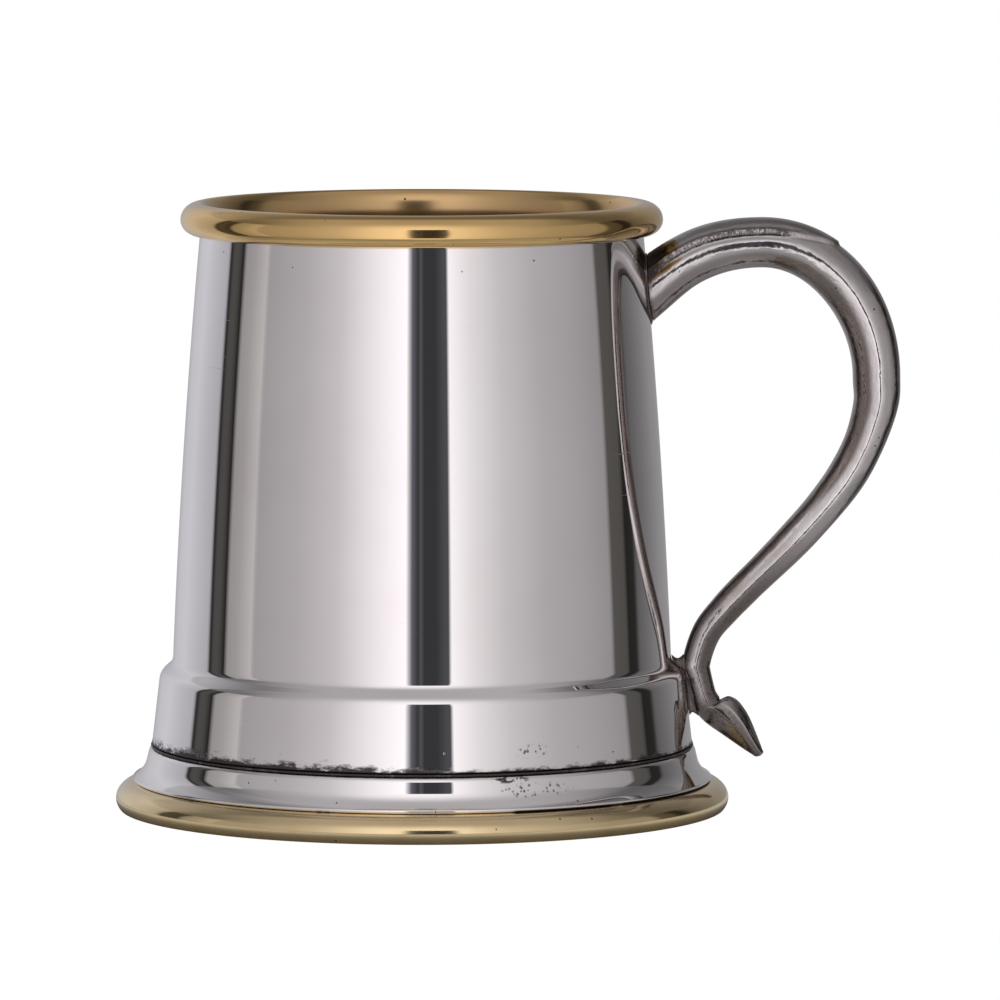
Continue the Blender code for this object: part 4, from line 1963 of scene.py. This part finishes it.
    def _world(self) -> None:
        """Write the studio on the world, white where the camera looks straight at it."""
        world = bpy.data.worlds.new("studio")
        bpy.context.scene.world = world
        world.use_nodes = True
        world.node_tree.nodes.clear()
        canvas = Canvas(world.node_tree)
        x, y, z = canvas.split(canvas.node("ShaderNodeTexCoord", output="Generated"))
        bearing = canvas.node("ShaderNodeMath", {"operation": "ARCTAN2"}, {0: x, 1: -y})
        turn = bearing / (2.0 * math.pi) + 0.5
        ring = canvas.node("ShaderNodeValToRGB", {"stops": self._stops(self.panels)}, {0: turn})
        upper = canvas.node("ShaderNodeValToRGB", {"stops": self._stops(self.upper)}, {0: turn})
        glints = canvas.node("ShaderNodeValToRGB", {"stops": self._stops(self.glints)}, {0: turn})
        ring = canvas.node("ShaderNodeVectorMath", {"operation": "ADD"}, {0: ring, 1: glints})
        high = canvas.node("ShaderNodeMath", {"operation": "ARCSINE"}, {0: z})
        light = canvas.mix(high.eased(self.ring_top, self.ring_top + self.fade), ring, upper)
        light = canvas.mix(high.eased(self.upper_to, self.overhead_from), light, self.overhead)
        light = canvas.mix(high.eased(self.overhead_from, self.zenith_from), light, self.zenith)
        behind = y.eased(*self.back_edge) * high.eased(self.ring_top, self.back_from)
        light = canvas.mix(behind * self.back_shade, light, BLACK)
        light = canvas.mix(high.eased(self.ring_low, self.ring_low - self.fade), light, upper)
        light = canvas.mix(high.eased(self.ring_low - self.fade, self.ground_from), light, self.ground)
        seen = canvas.node("ShaderNodeLightPath", output="Is Camera Ray")
        shown = canvas.mix(seen, light, WHITE)
        glow = canvas.node("ShaderNodeBackground", sockets={"Color": shown, "Strength": 1.0})
        output = world.node_tree.nodes.new("ShaderNodeOutputWorld")
        world.node_tree.links.new(glow.socket, output.inputs["Surface"])

    def _floor(self) -> None:
        """Round white sheet that keeps the mug's soft shadow, with a painted contact shadow in the glow that
        reflections see next to the mug.
        """
        mesh = bpy.data.meshes.new("floor")
        shape = bmesh.new()
        bmesh.ops.create_circle(shape, cap_ends=True, segments=self.floor_sides, radius=self.floor_radius)
        shape.to_mesh(mesh)
        shape.free()
        material = bpy.data.materials.new("white_sheet")
        material.use_nodes = True
        canvas = Canvas(material.node_tree)
        shader = material.node_tree.nodes["Principled BSDF"]
        seen = canvas.node("ShaderNodeLightPath", output="Is Camera Ray")
        mirrored = seen.other("Is Glossy Ray") + seen.other("Is Transmission Ray")
        ends = {0: canvas.place(), 1: (self.axis_x, 0.0, 0.0)}
        away = canvas.node("ShaderNodeVectorMath", {"operation": "DISTANCE"}, ends, "Value")
        mirror = self.floor_mirror - self.mirror_drop * away.eased(self.drop_near, self.drop_far)
        # glow for reflections, faded out towards the mug's foot as a painted contact shadow
        level = seen * self.floor_glow + mirrored * away.eased(self.contact_shadow_from, self.contact_shadow_to) * mirror
        glow = canvas.mix(level, BLACK, WHITE)
        material.node_tree.links.new(glow.socket, shader.inputs["Emission Color"])
        shader.inputs["Emission Strength"].default_value = 1.0
        shader.inputs["Base Color"].default_value = (self.floor_pale, self.floor_pale, self.floor_pale, 1.0)
        shader.inputs["Roughness"].default_value = self.floor_rough
        shader.inputs["Specular IOR Level"].default_value = 0.0
        mesh.materials.append(material)
        floor = bpy.data.objects.new("floor", mesh)
        floor.location = (0.0, 0.0, -self.floor_drop)
        bpy.context.scene.collection.objects.link(floor)

    def _camera(self) -> None:
        """Long lens a little above the mug, square to the handle's plane."""
        data = bpy.data.cameras.new("camera")
        data.sensor_width = self.sensor
        data.lens = self.distance / self.metres_per_pixel / self.image_width * self.sensor
        data.clip_start = self.clip_start
        camera = bpy.data.objects.new("camera", data)
        back = self.distance * math.cos(self.elevation)
        rise = self.distance * math.sin(self.elevation)
        camera.location = (self.axis_x + self.target_offset, -back, self.target_z + rise)
        camera.rotation_euler = (math.radians(90.0) - self.elevation, 0.0, 0.0)
        bpy.context.scene.collection.objects.link(camera)
        bpy.context.scene.camera = camera


def main() -> None:
    """Build every piece in order, then the studio."""
    logging.basicConfig(level=logging.INFO, format="%(message)s")
    low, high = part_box("barrel")
    axis_x = (low.x + high.x) / 2
    lathe = Lathe(axis_x)
    pewter = PolishedPewter().material()
    rim_brass = Brass().material()
    foot_brass = Brass(
        name="worn_brass",
        bright=(0.86, 0.690, 0.405),
        tarnished=(0.62, 0.465, 0.255),
        gloss=0.085,
        line_depth=0.0000012,
    ).material()
    cast = CastPewter().material()
    solder = OxidisedSolder().material()
    joint = OxidisedSolder(
        name="joint_solder",
        dark=(0.200, 0.175, 0.165),
        scuffed=(0.400, 0.355, 0.335),
    ).material()

    barrel = Barrel(low.z, high.z)
    barrel.build(lathe, pewter, solder)
    rim_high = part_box("rim_ring")[1]
    RimRing(barrel, rim_high.z, rim_high.x - axis_x).build(lathe, rim_brass)
    ring_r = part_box("foot_ring")[1].x - axis_x
    seam_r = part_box("foot_solder")[1].x - axis_x
    spigot_top_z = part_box("foot")[1].z
    Foot(ring_r, seam_r, barrel.low_z, spigot_top_z).build(lathe, pewter, foot_brass, solder)
    Handle(barrel, axis_x).build(cast, joint)
    Studio(axis_x).build()


if __name__ == "__main__":
    main()
